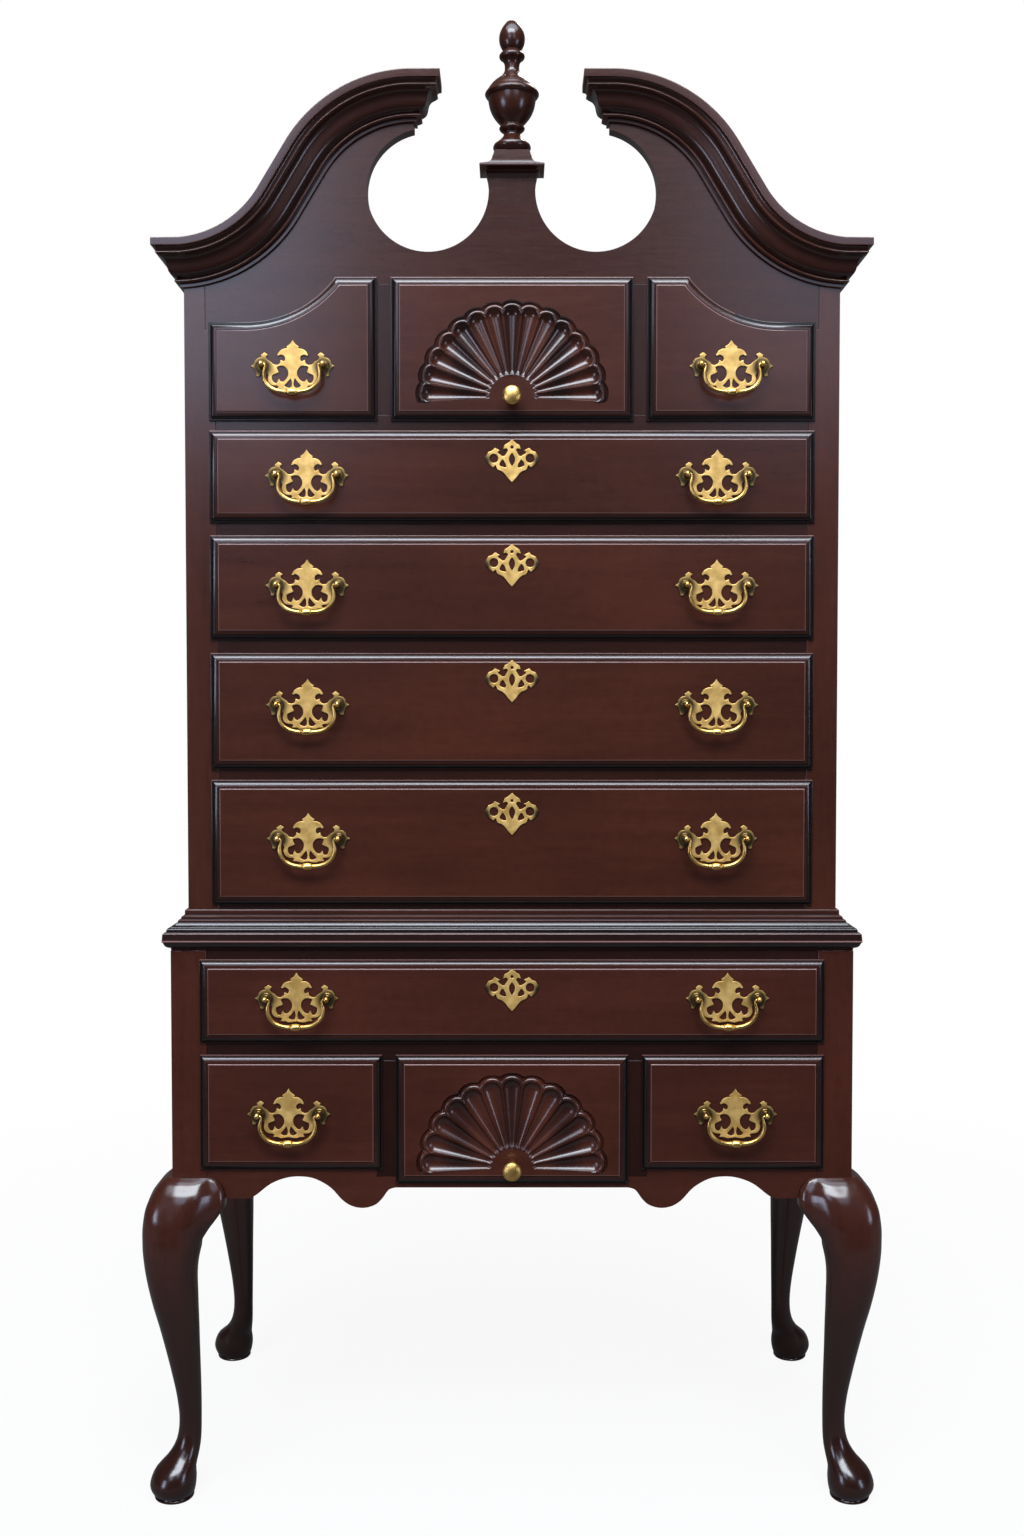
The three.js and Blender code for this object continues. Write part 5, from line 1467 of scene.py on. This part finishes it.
# %% Make the legs
POST_LAP = 4.0
# Painted shade: the legs are darker from the foot to the middle of the leg and fade to light at the knee
leg_shades = ([0, 4, 60, 180, 260, 340, 400, KNEE_TOP], [0.6, 0.65, 0.65, 0.65, 0.55, 0.3, 0.1, 0.2])
lower_top = box_mm("lower_front_apron")[5]
lower_half = box_mm("lower_side_right")[1]
lower_front = UPPER_FRONT - LOWER_LEDGE
for word, side, end in (("front_left", -1, -1), ("front_right", 1, -1), ("rear_left", -1, 1),
                        ("rear_right", 1, 1)):
    name = "leg_" + word
    heights, a, b = leg_sections(end < 0)
    face_y = lower_front if end < 0 else upper_back
    rings = []
    for k, height in enumerate(heights):
        rings.append([(side * (lower_half + av), face_y + end * bv, height) for av, bv in zip(a[k], b[k])])
    leg = Shape()
    shades = [float(shade) for shade in np.interp(heights, *leg_shades) for _ in range(LEG_SIDES)]
    own_plank = side + REAR_PLANK_STEP * end
    add_loft(leg, rings, shades, PLANK["leg"] + own_plank)
    piece(name + "_carving", mesh_of(name + "_carving", leg, sharp=50), lower_upright, "case",
          (name,))
    post = Shape()
    x0, x1 = sorted((side * (lower_half - POST_SIZE), side * lower_half))
    y0, y1 = sorted((face_y, face_y - end * POST_SIZE))
    add_block(post, x0, x1, y0, y1, KNEE_TOP - POST_LAP, lower_top, PLANK["leg_post"] + own_plank)
    piece(name + "_post", mesh_of(name + "_post", post), lower_upright, "case", (name,),
          soften=0.8)
    print(name, "rings:", len(rings))


# %% [markdown]
# The lower case's apron is a shaped board between the front posts. Its lower edge has a flat under the fan, a
# round drop on each side and an open arch next to the knee. Rails and dividers stand above it as separate
# sticks, like those of the upper case.

# %% Apron and lower frame
# Painted shade on the lower rails and dividers, for the shadow that the drawers' lips cast on them
LOWER_RAIL_SHADE = 0.7
APRON_FLAT_DROP = 15.9
APRON_DROP = 29.7
ARCH_STEPS = 12
apron_shares = [
    (0.382, 0.0, 1), (0.405, -0.12), (0.427, -0.55), (0.45, -0.85), (0.487, -1.0), (0.525, -0.91),
    (0.557, -0.61), (0.596, 0.0), (0.646, 0.42), (0.694, 0.54), (0.742, 0.47), (0.792, 0.18), (0.84, -0.36),
    (0.863, -0.54, 1),
]
lower_open = lower_half - POST_SIZE
frame_edge = lower_open - SEAT_GAP
lower_frame_back = lower_front + FRAME_THICKNESS
centre_drawer = drawer_boxes["lower_centre"]
centre_level = centre_drawer[4] + LIP
side_level = drawer_boxes["lower_right"][4] + LIP
long_level = drawer_boxes["lower_long"][4] + LIP
small_top = centre_drawer[5] - LIP
long_top = drawer_boxes["lower_long"][5] - LIP
divider_in = centre_drawer[1] - LIP
divider_out = drawer_boxes["lower_right"][0] + LIP


def apron_half():
    foot = centre_level - APRON_FLAT_DROP
    drops = [(share * lower_open, foot + drop * APRON_DROP, *rest) for share, drop, *rest in apron_shares]
    points = [(0.0, foot), *flowing(drops, steps=6)]
    for k in range(ARCH_STEPS + 1):
        angle = math.pi / 2 * k / ARCH_STEPS
        reach = max((WING_REACH + SEAT_GAP) * math.cos(angle), SEAT_GAP)
        rise = (WING_DROP + SEAT_GAP) * math.sin(angle)
        points.append((lower_open - reach, KNEE_TOP - WING_DROP + rise))
    return points + [(frame_edge, side_level), (divider_out, side_level), (divider_out, centre_level)]


def add_lower_rail(shape, foot, top, plank):
    add_block(shape, -frame_edge, frame_edge, lower_front, lower_frame_back, foot, top, plank,
              LOWER_RAIL_SHADE)


outline = both_halves(apron_half())
lower_rails = Shape()
add_outline_board(lower_rails, outline, lower_front, lower_frame_back, PLANK["apron"])
add_lower_rail(lower_rails, small_top, long_level, PLANK["middle_rail"])
add_lower_rail(lower_rails, long_top, lower_top, PLANK["top_rail"])
piece("apron_and_rails", mesh_of("apron_and_rails", lower_rails, merge=False), lower_across, "case",
      ("lower_front_apron",), soften=0.6)
dividers = Shape()
for side in (-1, 1):
    x0, x1 = sorted((side * (divider_in + JOINT), side * (divider_out - JOINT)))
    add_block(dividers, x0, x1, lower_front, lower_frame_back, centre_level + JOINT, small_top - JOINT,
              PLANK["lower_divider"] + side, LOWER_RAIL_SHADE)
piece("lower_dividers", mesh_of("lower_dividers", dividers, merge=False), lower_upright, "case",
      ("lower_front_apron",), soften=0.6)
print("apron outline points:", len(outline))


# %% [markdown]
# The lower case has runners and guides like the upper one. They run between the posts, and cleats across the
# back carry their rear ends, because the two small drawers and the fan drawer run at different levels.

# %% Lower runners
SEAT_SHAVED = 0.05
runners = Shape()
cleat_front = run_back - FRAME_THICKNESS
guide_front = lower_front + POST_SIZE + SEAT_GAP
guide_back = upper_back - POST_SIZE - SEAT_GAP
guide_reach = lower_half - SIDE_THICKNESS - SEAT_GAP
for level in (side_level, long_level, lower_top):
    foot = level - RUNNER_THICKNESS
    guide_top = level + (0.0 if level == lower_top else GUIDE_HEIGHT) - SEAT_SHAVED
    for side in (-1, 1):
        add_runner(runners, side, frame_edge - RUNNER_WIDTH, frame_edge, lower_frame_back, run_back, foot,
                   level - SEAT_SHAVED)
        add_runner(runners, side, frame_edge, guide_reach, guide_front, guide_back, foot, guide_top)
centre_foot = centre_level - RUNNER_THICKNESS
side_foot = side_level - RUNNER_THICKNESS
runner_lines = [
    (divider_in, divider_out, lower_frame_back, centre_foot, side_level + GUIDE_HEIGHT),
    (divider_in - RUNNER_WIDTH / 2, divider_in, lower_frame_back, centre_foot, centre_level),
    (divider_out, divider_out + RUNNER_WIDTH / 2, lower_frame_back, side_foot, side_level),
    (frame_edge - RUNNER_WIDTH, frame_edge, cleat_front, side_foot, lower_top),
    (divider_in, frame_edge, cleat_front, centre_foot, side_level),
]
for side in (-1, 1):
    for inner, outer, front, foot, top in runner_lines:
        add_runner(runners, side, inner, outer, front, run_back, foot, top)
add_block(runners, -divider_in, divider_in, cleat_front, run_back, centre_foot, centre_level)
piece("lower_runners", mesh_of("lower_runners", runners, merge=False), plain_deep, "case",
      ("lower_front_apron",), soften=0.6)
print("lower runners:", len(runners.faces) // 6)


# %% [markdown]
# The pull's back plate is sawn from sheet brass and pierced, with filed edges. Half of its outline is enough,
# because it mirrors. A flat curve with a small extrusion and bevel fills it, holes too, which is easier than
# stitching the holes by hand. A thin dark sheet behind it, a little larger, is a painted shadow: a dark line
# round the edge where the plate stands off the wood. The posts are turned, with a rosette at the foot and a
# ball at the head.

# %% Pierced plates
plate_edge = [
    (0, 36.3, 1), (3.7, 30.8), (9, 26.9, 1), (7.3, 24.3, 1), (13, 23.7), (18.3, 20.8), (22, 15.1, 1),
    (20, 13.9), (16.7, 15.5), (12.2, 13.5), (10.6, 9.8), (12.4, 6.1, 1), (17.1, 8.2, 1), (18.4, 3.6),
    (22.4, 1.2), (27.3, 2), (30.6, 5.3), (36.7, 9.4), (37.9, 12.6, 1), (35.1, 15.5, 1), (40, 18.8, 1),
    (45.3, 15.1, 1), (44.2, 12.2, 1),
    (50.6, 10.2), (54.0, 6.0, 1), (54.8, 2.8), (59.3, -0.4, 1), (55.2, -3.4), (53.2, -7.4), (51.6, -11.4, 1),
    (51.8, -14.2, 1), (48.4, -15.2), (46.0, -12.8, 1), (42.8, -10.0), (38.6, -6.8, 1), (34.4, -12.4, 1),
    (35.4, -17.6), (35.0, -21.6), (32.4, -25.6), (28.0, -27.8), (22.4, -28.2, 1), (20.6, -29.8),
    (22.6, -32.8, 1), (18.6, -33.2), (15.4, -33.2, 1), (11.6, -34.8), (6.0, -34.6), (0, -33.4),
]
plate_hole = [
    (17.0, -0.2), (22.0, -1.8), (21.6, -5.2), (19.7, -8.9, 1), (22.8, -10.8), (26.1, -12.0), (29.3, -13.9, 1),
    (29.4, -18.4), (27.4, -23.0), (23.6, -24.6, 1), (21.4, -22.2), (19.9, -17.6, 1), (17.2, -21.7),
    (13.7, -22.2), (9.5, -18.8), (6.6, -13.5), (6.6, -7.6), (9.1, -3.1), (12.9, -0.4),
]
plate_small_hole = [
    (3.2, -17.8, 1), (1.9, -20.9), (1.2, -25.1), (1.9, -29.6, 1), (5.4, -31.3), (9.5, -30.0),
    (11.9, -27.7, 1), (8.3, -24.2), (5.4, -20.6),
]
PLATE_THICKNESS = 1.8
FILED_EDGE = 0.6
# The thin dark sheet round each plate's edge is a painted shadow
RIM_SHADOW_THICKNESS = 0.2
RIM_SHADOW_EDGE = 0.02
RIM_SHADOW_SPREAD = 0.7
RIM_SHADOW_DARK = 1.0


def pierced_mesh(name, outline, holes, thickness, edge=FILED_EDGE, spread=0.0):
    data = bpy.data.curves.new(name, "CURVE")
    data.dimensions = "2D"
    data.fill_mode = "BOTH"
    data.extrude = (thickness / 2 - edge) * MM
    data.bevel_depth = edge * MM
    data.bevel_resolution = 1
    data.offset = (spread - edge) * MM
    for loop in [outline, *holes]:
        spline = data.splines.new("POLY")
        spline.points.add(len(loop) - 1)
        for point, (x, z) in zip(spline.points, loop):
            point.co = (x * MM, z * MM, 0, 1)
        spline.use_cyclic_u = True
    holder = bpy.data.objects.new(name, data)
    scene.collection.objects.link(holder)
    bpy.context.view_layer.update()
    depsgraph = bpy.context.evaluated_depsgraph_get()
    mesh = bpy.data.meshes.new_from_object(holder.evaluated_get(depsgraph), depsgraph=depsgraph)
    bpy.data.objects.remove(holder)
    return mesh


def add_flat_mesh(shape, mesh, x, front, z, thickness, glaze=0.0):
    points = [(x + v.co.x / MM, front - thickness / 2 - v.co.z / MM, z + v.co.y / MM) for v in mesh.vertices]
    shape.add(points, [tuple(p.vertices) for p in mesh.polygons], glaze)
    shape.along.extend((v.co.x / MM, v.co.y / MM, 0.0) for v in mesh.vertices)


def pierced_pair(name, half, holes, thickness):
    outline = both_halves(flowing(half, steps=4))
    return (pierced_mesh(name, outline, holes, thickness),
            pierced_mesh(name + "_dirt", outline, holes, RIM_SHADOW_THICKNESS, RIM_SHADOW_EDGE, RIM_SHADOW_SPREAD))


def pierced_shape(pair, x, field, z, thickness):
    shape = Shape()
    sheet, rim_shadow = pair
    add_flat_mesh(shape, sheet, x, field - SEAT_GAP, z, thickness)
    add_flat_mesh(shape, rim_shadow, x, field - RIM_SHADOW_THICKNESS / 4, z, RIM_SHADOW_THICKNESS, RIM_SHADOW_DARK)
    return shape


plate_holes = [flowing(plate_hole, 4, True), flowing(plate_small_hole, 4, True)]
plate_holes += [[(-x, z) for x, z in hole] for hole in plate_holes]
plate_pair = pierced_pair("plate", plate_edge, plate_holes, PLATE_THICKNESS)
print("plate faces:", len(plate_pair[0].polygons))


# %% [markdown]
# The bail is cast and filed: a rod that is thin at the pins, thick in the grip and drops below the plate in
# one open curve, with a turned knop in the middle. The rod's radius changes along the way, so it is lofted
# over rings set square to the curve, and not swept with one section.

# %% Posts and bails
POST_SIDES = 24
POST_LET_IN = 0.1
BAIL_SIDES = 16
FINE_STEPS_FROM = 12
# Each row of a post gives a radius, a height and its darkening, heaviest at the rosette where it meets the plate:
# patina and painted shade both
post_section = [
    (0.0, 0.0, 0.9), (7.4, 0.0, 0.9), (7.6, 0.9, 0.75), (6.9, 1.5, 0.7), (5.6, 1.5, 0.9), (4.4, 2.0, 0.9),
    (3.3, 3.4, 0.85), (2.9, 5.6, 0.8), (2.9, 8.6, 0.7), (3.4, 10.0, 0.5), (3.9, 11.2, 0.2), (4.2, 12.8, 0.0),
    (3.95, 14.4, 0.0), (3.2, 15.8, 0.0), (2.0, 16.7, 0.0), (0.0, 17.0, 0.0),
]
bail_path = [
    (41.6, 0.0, 1.35), (39.4, 0.0, 1.35), (37.8, -0.9, 1.45), (37.2, -2.8, 1.5), (37.7, -5.4, 1.6),
    (38.9, -9.0, 2.3), (39.8, -14.0, 2.75), (39.2, -20.0, 2.95), (36.8, -26.0, 3.0), (32.6, -31.4, 3.0),
    (26.8, -35.6, 3.0), (20.0, -38.2, 3.0), (13.0, -39.2, 2.9), (9.4, -39.4, 2.7), (8.9, -39.4, 3.5),
    (8.0, -39.4, 3.7), (7.4, -39.4, 3.1), (6.4, -39.5, 4.2), (4.0, -39.6, 5.0), (0.0, -39.6, 5.3),
]


def bail_shape(x, y, z):
    right = []
    for k in range(len(bail_path) - 1):
        steps = 2 if k < FINE_STEPS_FROM else 1
        for step in range(steps):
            t = step / steps
            right.append(tuple(a + (b - a) * t for a, b in zip(bail_path[k], bail_path[k + 1])))
    right.append(bail_path[-1])
    centre = np.array(right)
    rod = slice(3, 26)
    for _ in range(2):
        before, after = centre[rod.start - 1:rod.stop - 1], centre[rod.start + 1:rod.stop + 1]
        smoothed = centre.copy()
        smoothed[rod] = (before + 2 * centre[rod] + after) / 4
        centre = smoothed
    left = centre[:-1].copy()
    left[:, 0] *= -1
    path = np.concatenate([left, centre[::-1]])
    tangent = np.gradient(path[:, :2], axis=0)
    tangent /= np.linalg.norm(tangent, axis=1)[:, None]
    rings = []
    shades = []
    # Painted shade: the rod is darker on its back and underside and lightest on its front
    for (px, pz, radius), (tx, tz) in zip(path, tangent):
        ring = []
        for k in range(BAIL_SIDES):
            angle = 2 * math.pi * k / BAIL_SIDES
            across = radius * math.cos(angle)
            ring.append((x + px - tz * across, y - radius * math.sin(angle), z + pz + tx * across))
            shades.append(float(np.clip(0.5 - 0.8 * math.sin(angle) - 0.5 * tx * math.cos(angle), 0.0, 0.85)))
        rings.append(ring)
    shape = Shape()
    add_loft(shape, rings, shades)
    return shape


def drawer_field(name):
    return UPPER_FRONT - (LOWER_LEDGE if name.startswith("lower") else 0.0) - FIELD_FORWARD


carriers = frame["record"]["behaviour"]["bodies"]
joints = {joint["name"]: joint for joint in frame["joints"]}
plate_names = sorted(name for name in frame["nodes"] if name.startswith("pull_plate_"))
for label in plate_names:
    name = label.removeprefix("pull_plate_")
    body = next(body for body in carriers if label in carriers[body])
    px, py, pz = [value / MM for value in joints["bail_" + name + "_swing"]["pos_m"]]
    field = drawer_field(name)
    plate = pierced_shape(plate_pair, px, field, pz, PLATE_THICKNESS)
    posts = Shape()
    foot_y = field - SEAT_GAP - PLATE_THICKNESS + POST_LET_IN
    for side in (-1, 1):
        add_turning(posts, post_section,
                    lambda u, v, w, s=side: (px + s * POST_REACH + u, foot_y - w, pz + v), POST_SIDES)
    piece(label + "_sheet", mesh_of(label + "_sheet", plate, sharp=35, merge=False), sheet_brass, body,
          (label,))
    piece(label + "_posts", mesh_of(label + "_posts", posts, sharp=35), cast_brass, body,
          (label,))
    bail = "bail_" + name
    piece(bail + "_rod", mesh_of(bail + "_rod", bail_shape(px, py, pz), sharp=50), cast_brass, bail,
          (bail,))
print("pulls:", len(plate_names))


# %% [markdown]
# Five escutcheons stand over the locks. They are pierced like the plates: a lens in the middle for the key, a
# small round hole above it, and a round and a three-cornered one on each side. The knobs are turned, with a
# neck and a domed face.

# %% Escutcheons and knobs
escutcheon_edge = [
    (0, 30.3, 1), (5.5, 25.4), (10.5, 22.5, 1), (12.6, 16.6, 1), (8, 17.5), (5.5, 15, 1), (10.5, 6.8, 1),
    (13.8, 6.8), (20.2, 12.0), (17.0, 14.6, 1), (24.5, 18.3, 1), (28.3, 14.6), (33.6, 12.6, 1), (36.9, 6.8),
    (38.9, 4.3, 1), (35.3, -2.3), (27, -9.3, 1), (23.3, -6.4), (20.4, -12.2), (14.6, -14.7), (10.1, -18.4),
    (5.5, -24.4), (0, -30.3, 1),
]
escutcheon_lens = [
    (0, 11.3, 1), (3.4, 6.8), (4.3, 2.2), (3.0, -3.0), (0, -7.7, 1), (-3.0, -3.0), (-4.3, 2.2), (-3.4, 6.8),
]
escutcheon_triangle = [(13.8, 1.8), (17.9, -5.4), (13.4, -8.6), (8.8, -9.2), (8.6, -5.4), (10.8, -1.2)]
ESCUTCHEON_THICKNESS = 1.6
ESCUTCHEON_RISES = {"long_4": 131.9, "long_3": 126.4, "long_2": 105.4, "long_1": 86.8, "lower_long": 77.5}
KNOB_SIDES = 48


def round_hole(x, z, radius):
    return arc((x, z), radius, 0, 345, 23)


def keyplate_holes():
    holes = [flowing(escutcheon_lens, 3, True), round_hole(0, 19.2, 2.3)]
    for side in (-1, 1):
        holes.append([(side * x, z) for x, z in round_hole(25.8, 3.6, 6.4)])
        holes.append([(side * x, z) for x, z in flowing(escutcheon_triangle, 3, True)])
    return holes


keyplate_pair = pierced_pair("keyplate", escutcheon_edge, keyplate_holes(), ESCUTCHEON_THICKNESS)
for name, rise in ESCUTCHEON_RISES.items():
    height = drawer_boxes[name][4] + rise
    keyplate = pierced_shape(keyplate_pair, 0.0, drawer_field(name), height, ESCUTCHEON_THICKNESS)
    label = "escutcheon_" + name
    piece(label, mesh_of(label, keyplate, sharp=35, merge=False), sheet_brass, name + "_drawer")
# Each row of the knob gives a radius, a height and its darkening, heaviest at the foot and the neck: patina and
# painted shade both
knob_section = [
    (0.0, 0.3, 0.6), (8.3, 0.3, 0.8), (8.5, 1.4, 0.5), (7.4, 2.4, 0.3), (5.8, 4.0, 0.4), (5.3, 6.6, 0.3),
    (5.6, 9.4, 0.2), (7.4, 12.0, 0.1), (10.8, 14.4, 0.1), (13.0, 16.0, 0.0), (13.6, 17.6, 0.0),
    (13.3, 19.2, 0.0), (12.0, 20.9, 0.0), (10.6, 21.6, 0.25), (9.8, 21.9, 0.0), (7.6, 22.9, 0.0),
    (4.6, 23.7, 0.0), (0.0, 24.0, 0.0),
]
for name, (field, height) in fan_places.items():
    knob = Shape()
    add_turning(knob, knob_section, lambda u, v, w: (u, field - w, height + v), KNOB_SIDES)
    label = "knob_" + name
    piece(label + "_turning", mesh_of(label + "_turning", knob, sharp=40), knob_brass, name + "_drawer",
          (label,))
print("escutcheons:", len(ESCUTCHEON_RISES), "knobs:", len(fan_places))


# %% [markdown]
# The sides, the top and the backs are plain boards, and the joiner's solids already have their true shape.
# They stay, and only get their finish. The grain runs up the upper case's sides and back and across its top.
# In the lower case it runs from front to back in the sides and across in the back.

# %% Boards that stay
kept = {
    "upper_side_left": upper_upright, "upper_side_right": upper_upright, "upper_top_board": upper_across,
    "upper_back_panel": plain_upright, "lower_side_left": lower_deep, "lower_side_right": lower_deep,
    "lower_back_panel": plain_across,
}
for name, material in kept.items():
    for material_slot in frame["nodes"][name].material_slots:
        material_slot.material = material
print("boards that stay:", len(kept))


# %% [markdown]
# The floor is a pale sheet that keeps the shadow of the feet, and a backdrop stands behind. Both glow white
# to the camera, and hardly at all in reflections, so the wood and the brass mirror a dim room and the light
# on them comes from the lamps.

# %% Floor and backdrop
FLOOR_FRONT = -1.1
STAGE_BACK = 5.0
STAGE_REACH = 6.0
STAGE_HEIGHT = 7.0
GLOW_FROM = 0.5
GLOW_TO = 2.4


def pale(name, near, far, mirrored):
    material, tree, shader = new_finish(name)
    shader.inputs["Roughness"].default_value = 0.9
    shader.inputs["Specular IOR Level"].default_value = 0.0
    rays = node(tree, "ShaderNodeLightPath").outputs
    paint = colour_mix(tree, rays["Is Camera Ray"], (0.12, 0.12, 0.12, 1), (0.55, 0.55, 0.55, 1))
    tree.links.new(paint, shader.inputs["Base Color"])
    place = node(tree, "ShaderNodeTexCoord").outputs["Object"]
    reach = node(tree, "ShaderNodeVectorMath", {0: place}, operation="LENGTH").outputs["Value"]
    glow = remap(tree, reach, GLOW_FROM, GLOW_TO, near, far)
    seen = shade_math(tree, "MAXIMUM", rays["Is Camera Ray"], rays["Is Transmission Ray"])
    seen = shade_math(tree, "MAXIMUM", seen, shade_math(tree, "MULTIPLY", rays["Is Glossy Ray"], mirrored))
    emission = node(tree, "ShaderNodeEmission", {"Color": (1, 1, 1, 1), "Strength": 1.0}).outputs[0]
    share = shade_math(tree, "MULTIPLY", seen, glow)
    mixed = node(tree, "ShaderNodeMixShader", {0: share, 1: shader.outputs[0], 2: emission}).outputs[0]
    tree.links.new(mixed, tree.nodes["Material Output"].inputs["Surface"])
    return material


def stage_sheet(name, near_edge, far_edge, material):
    points = [(x, y, z) for x, (y, z) in ((-STAGE_REACH, near_edge), (STAGE_REACH, near_edge),
                                          (STAGE_REACH, far_edge), (-STAGE_REACH, far_edge))]
    mesh = bpy.data.meshes.new(name)
    mesh.from_pydata(points, [], [(0, 1, 2, 3)])
    mesh.materials.append(material)
    made = bpy.data.objects.new(name, mesh)
    scene.collection.objects.link(made)
    made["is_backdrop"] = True


stage_sheet("floor", (FLOOR_FRONT, 0.0), (STAGE_BACK, 0.0), pale("pale_floor", 0.92, 1.0, 0.05))
stage_sheet("backdrop", (STAGE_BACK, -0.2), (STAGE_BACK, STAGE_HEIGHT), pale("pale_backdrop", 1.0, 1.0, 0.06))
print("stage:", "floor, backdrop")


# %% [markdown]
# A wide lamp high in front lights the wood at a plain level, from so steep that the flat fronts don't mirror
# it to the camera, and with the one overhead it draws the bright band on every upper edge. Two weak panels
# stand lower, where the upper fronts do mirror them: they make the cool haze beside the pediment. A strip
# stands low on each side and draws the upright lines in legs, turnings and brass. One lamp, high behind,
# shows the back in other views: low down it would show as white specks on the ends of the scrolls. Each
# lamp's row has its place and aim in metres, its size, its power in watts and its colour.

# %% Lights
def area_lamp(name, place, aim, size, power, colour):
    data = bpy.data.lights.new(name, "AREA")
    data.shape = "RECTANGLE"
    data.size, data.size_y = size
    data.energy = power
    data.color = colour
    made = bpy.data.objects.new(name, data)
    made.location = place
    made.visible_camera = False
    scene.collection.objects.link(made)
    direction = np.array(aim, float) - np.array(place, float)
    turn = math.atan2(direction[1], direction[0]) - math.pi / 2
    made.rotation_euler = (math.atan2(math.hypot(direction[0], direction[1]), -direction[2]), 0, turn)


KEY = (0.85, 0.915, 1.0)
HAZE = (0.62, 0.74, 1.0)
STRIP = (0.66, 0.75, 1.0)
CEILING = (0.76, 0.86, 1.0)
WHITE = (1.0, 1.0, 1.0)
lamps = {
    "key": ((-0.4, -4.0, 6.0), (0, -0.2, 1.1), (5.0, 2.2), 580, KEY),
    "left_haze": ((-1.3, -3.6, 2.9), (0, -0.2, 1.8), (1.2, 1.4), 20, HAZE),
    "right_haze": ((1.3, -3.6, 2.9), (0, -0.2, 1.8), (1.2, 1.3), 10, HAZE),
    "left_strip": ((-2.9, -3.0, 1.0), (0, -0.2, 0.9), (0.9, 1.5), 36, STRIP),
    "right_strip": ((3.0, -2.6, 1.0), (0, -0.2, 0.9), (0.7, 1.5), 24, STRIP),
    "overhead": ((0, -0.9, 4.0), (0, -0.3, 0.5), (2.8, 1.3), 55, CEILING),
    "behind": ((0.6, 2.6, 4.8), (0, 0.2, 1.0), (2.0, 1.4), 60, WHITE),
}
for name, (place, aim, size, power, colour) in lamps.items():
    area_lamp(name, place, aim, size, power, colour)
print("lamps:", len(lamps))


# %% [markdown]
# The room is a dim colour that the world gives to every ray that meets nothing. The camera's own rays get
# white instead. A mirrored ray that goes on backwards past the highboy gets a little of that white too, or
# the wood's far edges would end in black.

# %% Room
ROOM_DIM = (0.05, 0.05, 0.055, 1)
ROOM_WHITE = (1, 1, 1, 1)
BACK_GLOW = 0.05


def room():
    world = bpy.data.worlds.new("room")
    world.use_nodes = True
    tree = world.node_tree
    rays = node(tree, "ShaderNodeLightPath").outputs
    heading = node(tree, "ShaderNodeTexCoord").outputs["Generated"]
    backwards = node(tree, "ShaderNodeSeparateXYZ", {0: heading}).outputs[1]
    back = remap(tree, backwards, 0.1, 0.7, 0.0, BACK_GLOW)
    mirrored = shade_math(tree, "MULTIPLY", rays["Is Glossy Ray"], back)
    seen = shade_math(tree, "MAXIMUM", rays["Is Camera Ray"], rays["Is Transmission Ray"])
    seen = shade_math(tree, "MAXIMUM", seen, mirrored)
    tree.links.new(colour_mix(tree, seen, ROOM_DIM, ROOM_WHITE), tree.nodes["Background"].inputs["Color"])
    return world


scene.world = room()
scene.view_settings.view_transform = "Standard"
print("world:", scene.world.name)


# %% [markdown]
# The joiner's box and the box of the finished piece are written side by side, because a visual piece may not
# stand out past the solids that it dresses.

# %% Measure and finish
def corners(box):
    return [[round(float(value), 5) for value in corner] for corner in box]


{"cad": corners(cad_box), "visual": corners(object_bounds())}
print("boxes:", corners(cad_box), corners(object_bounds()))
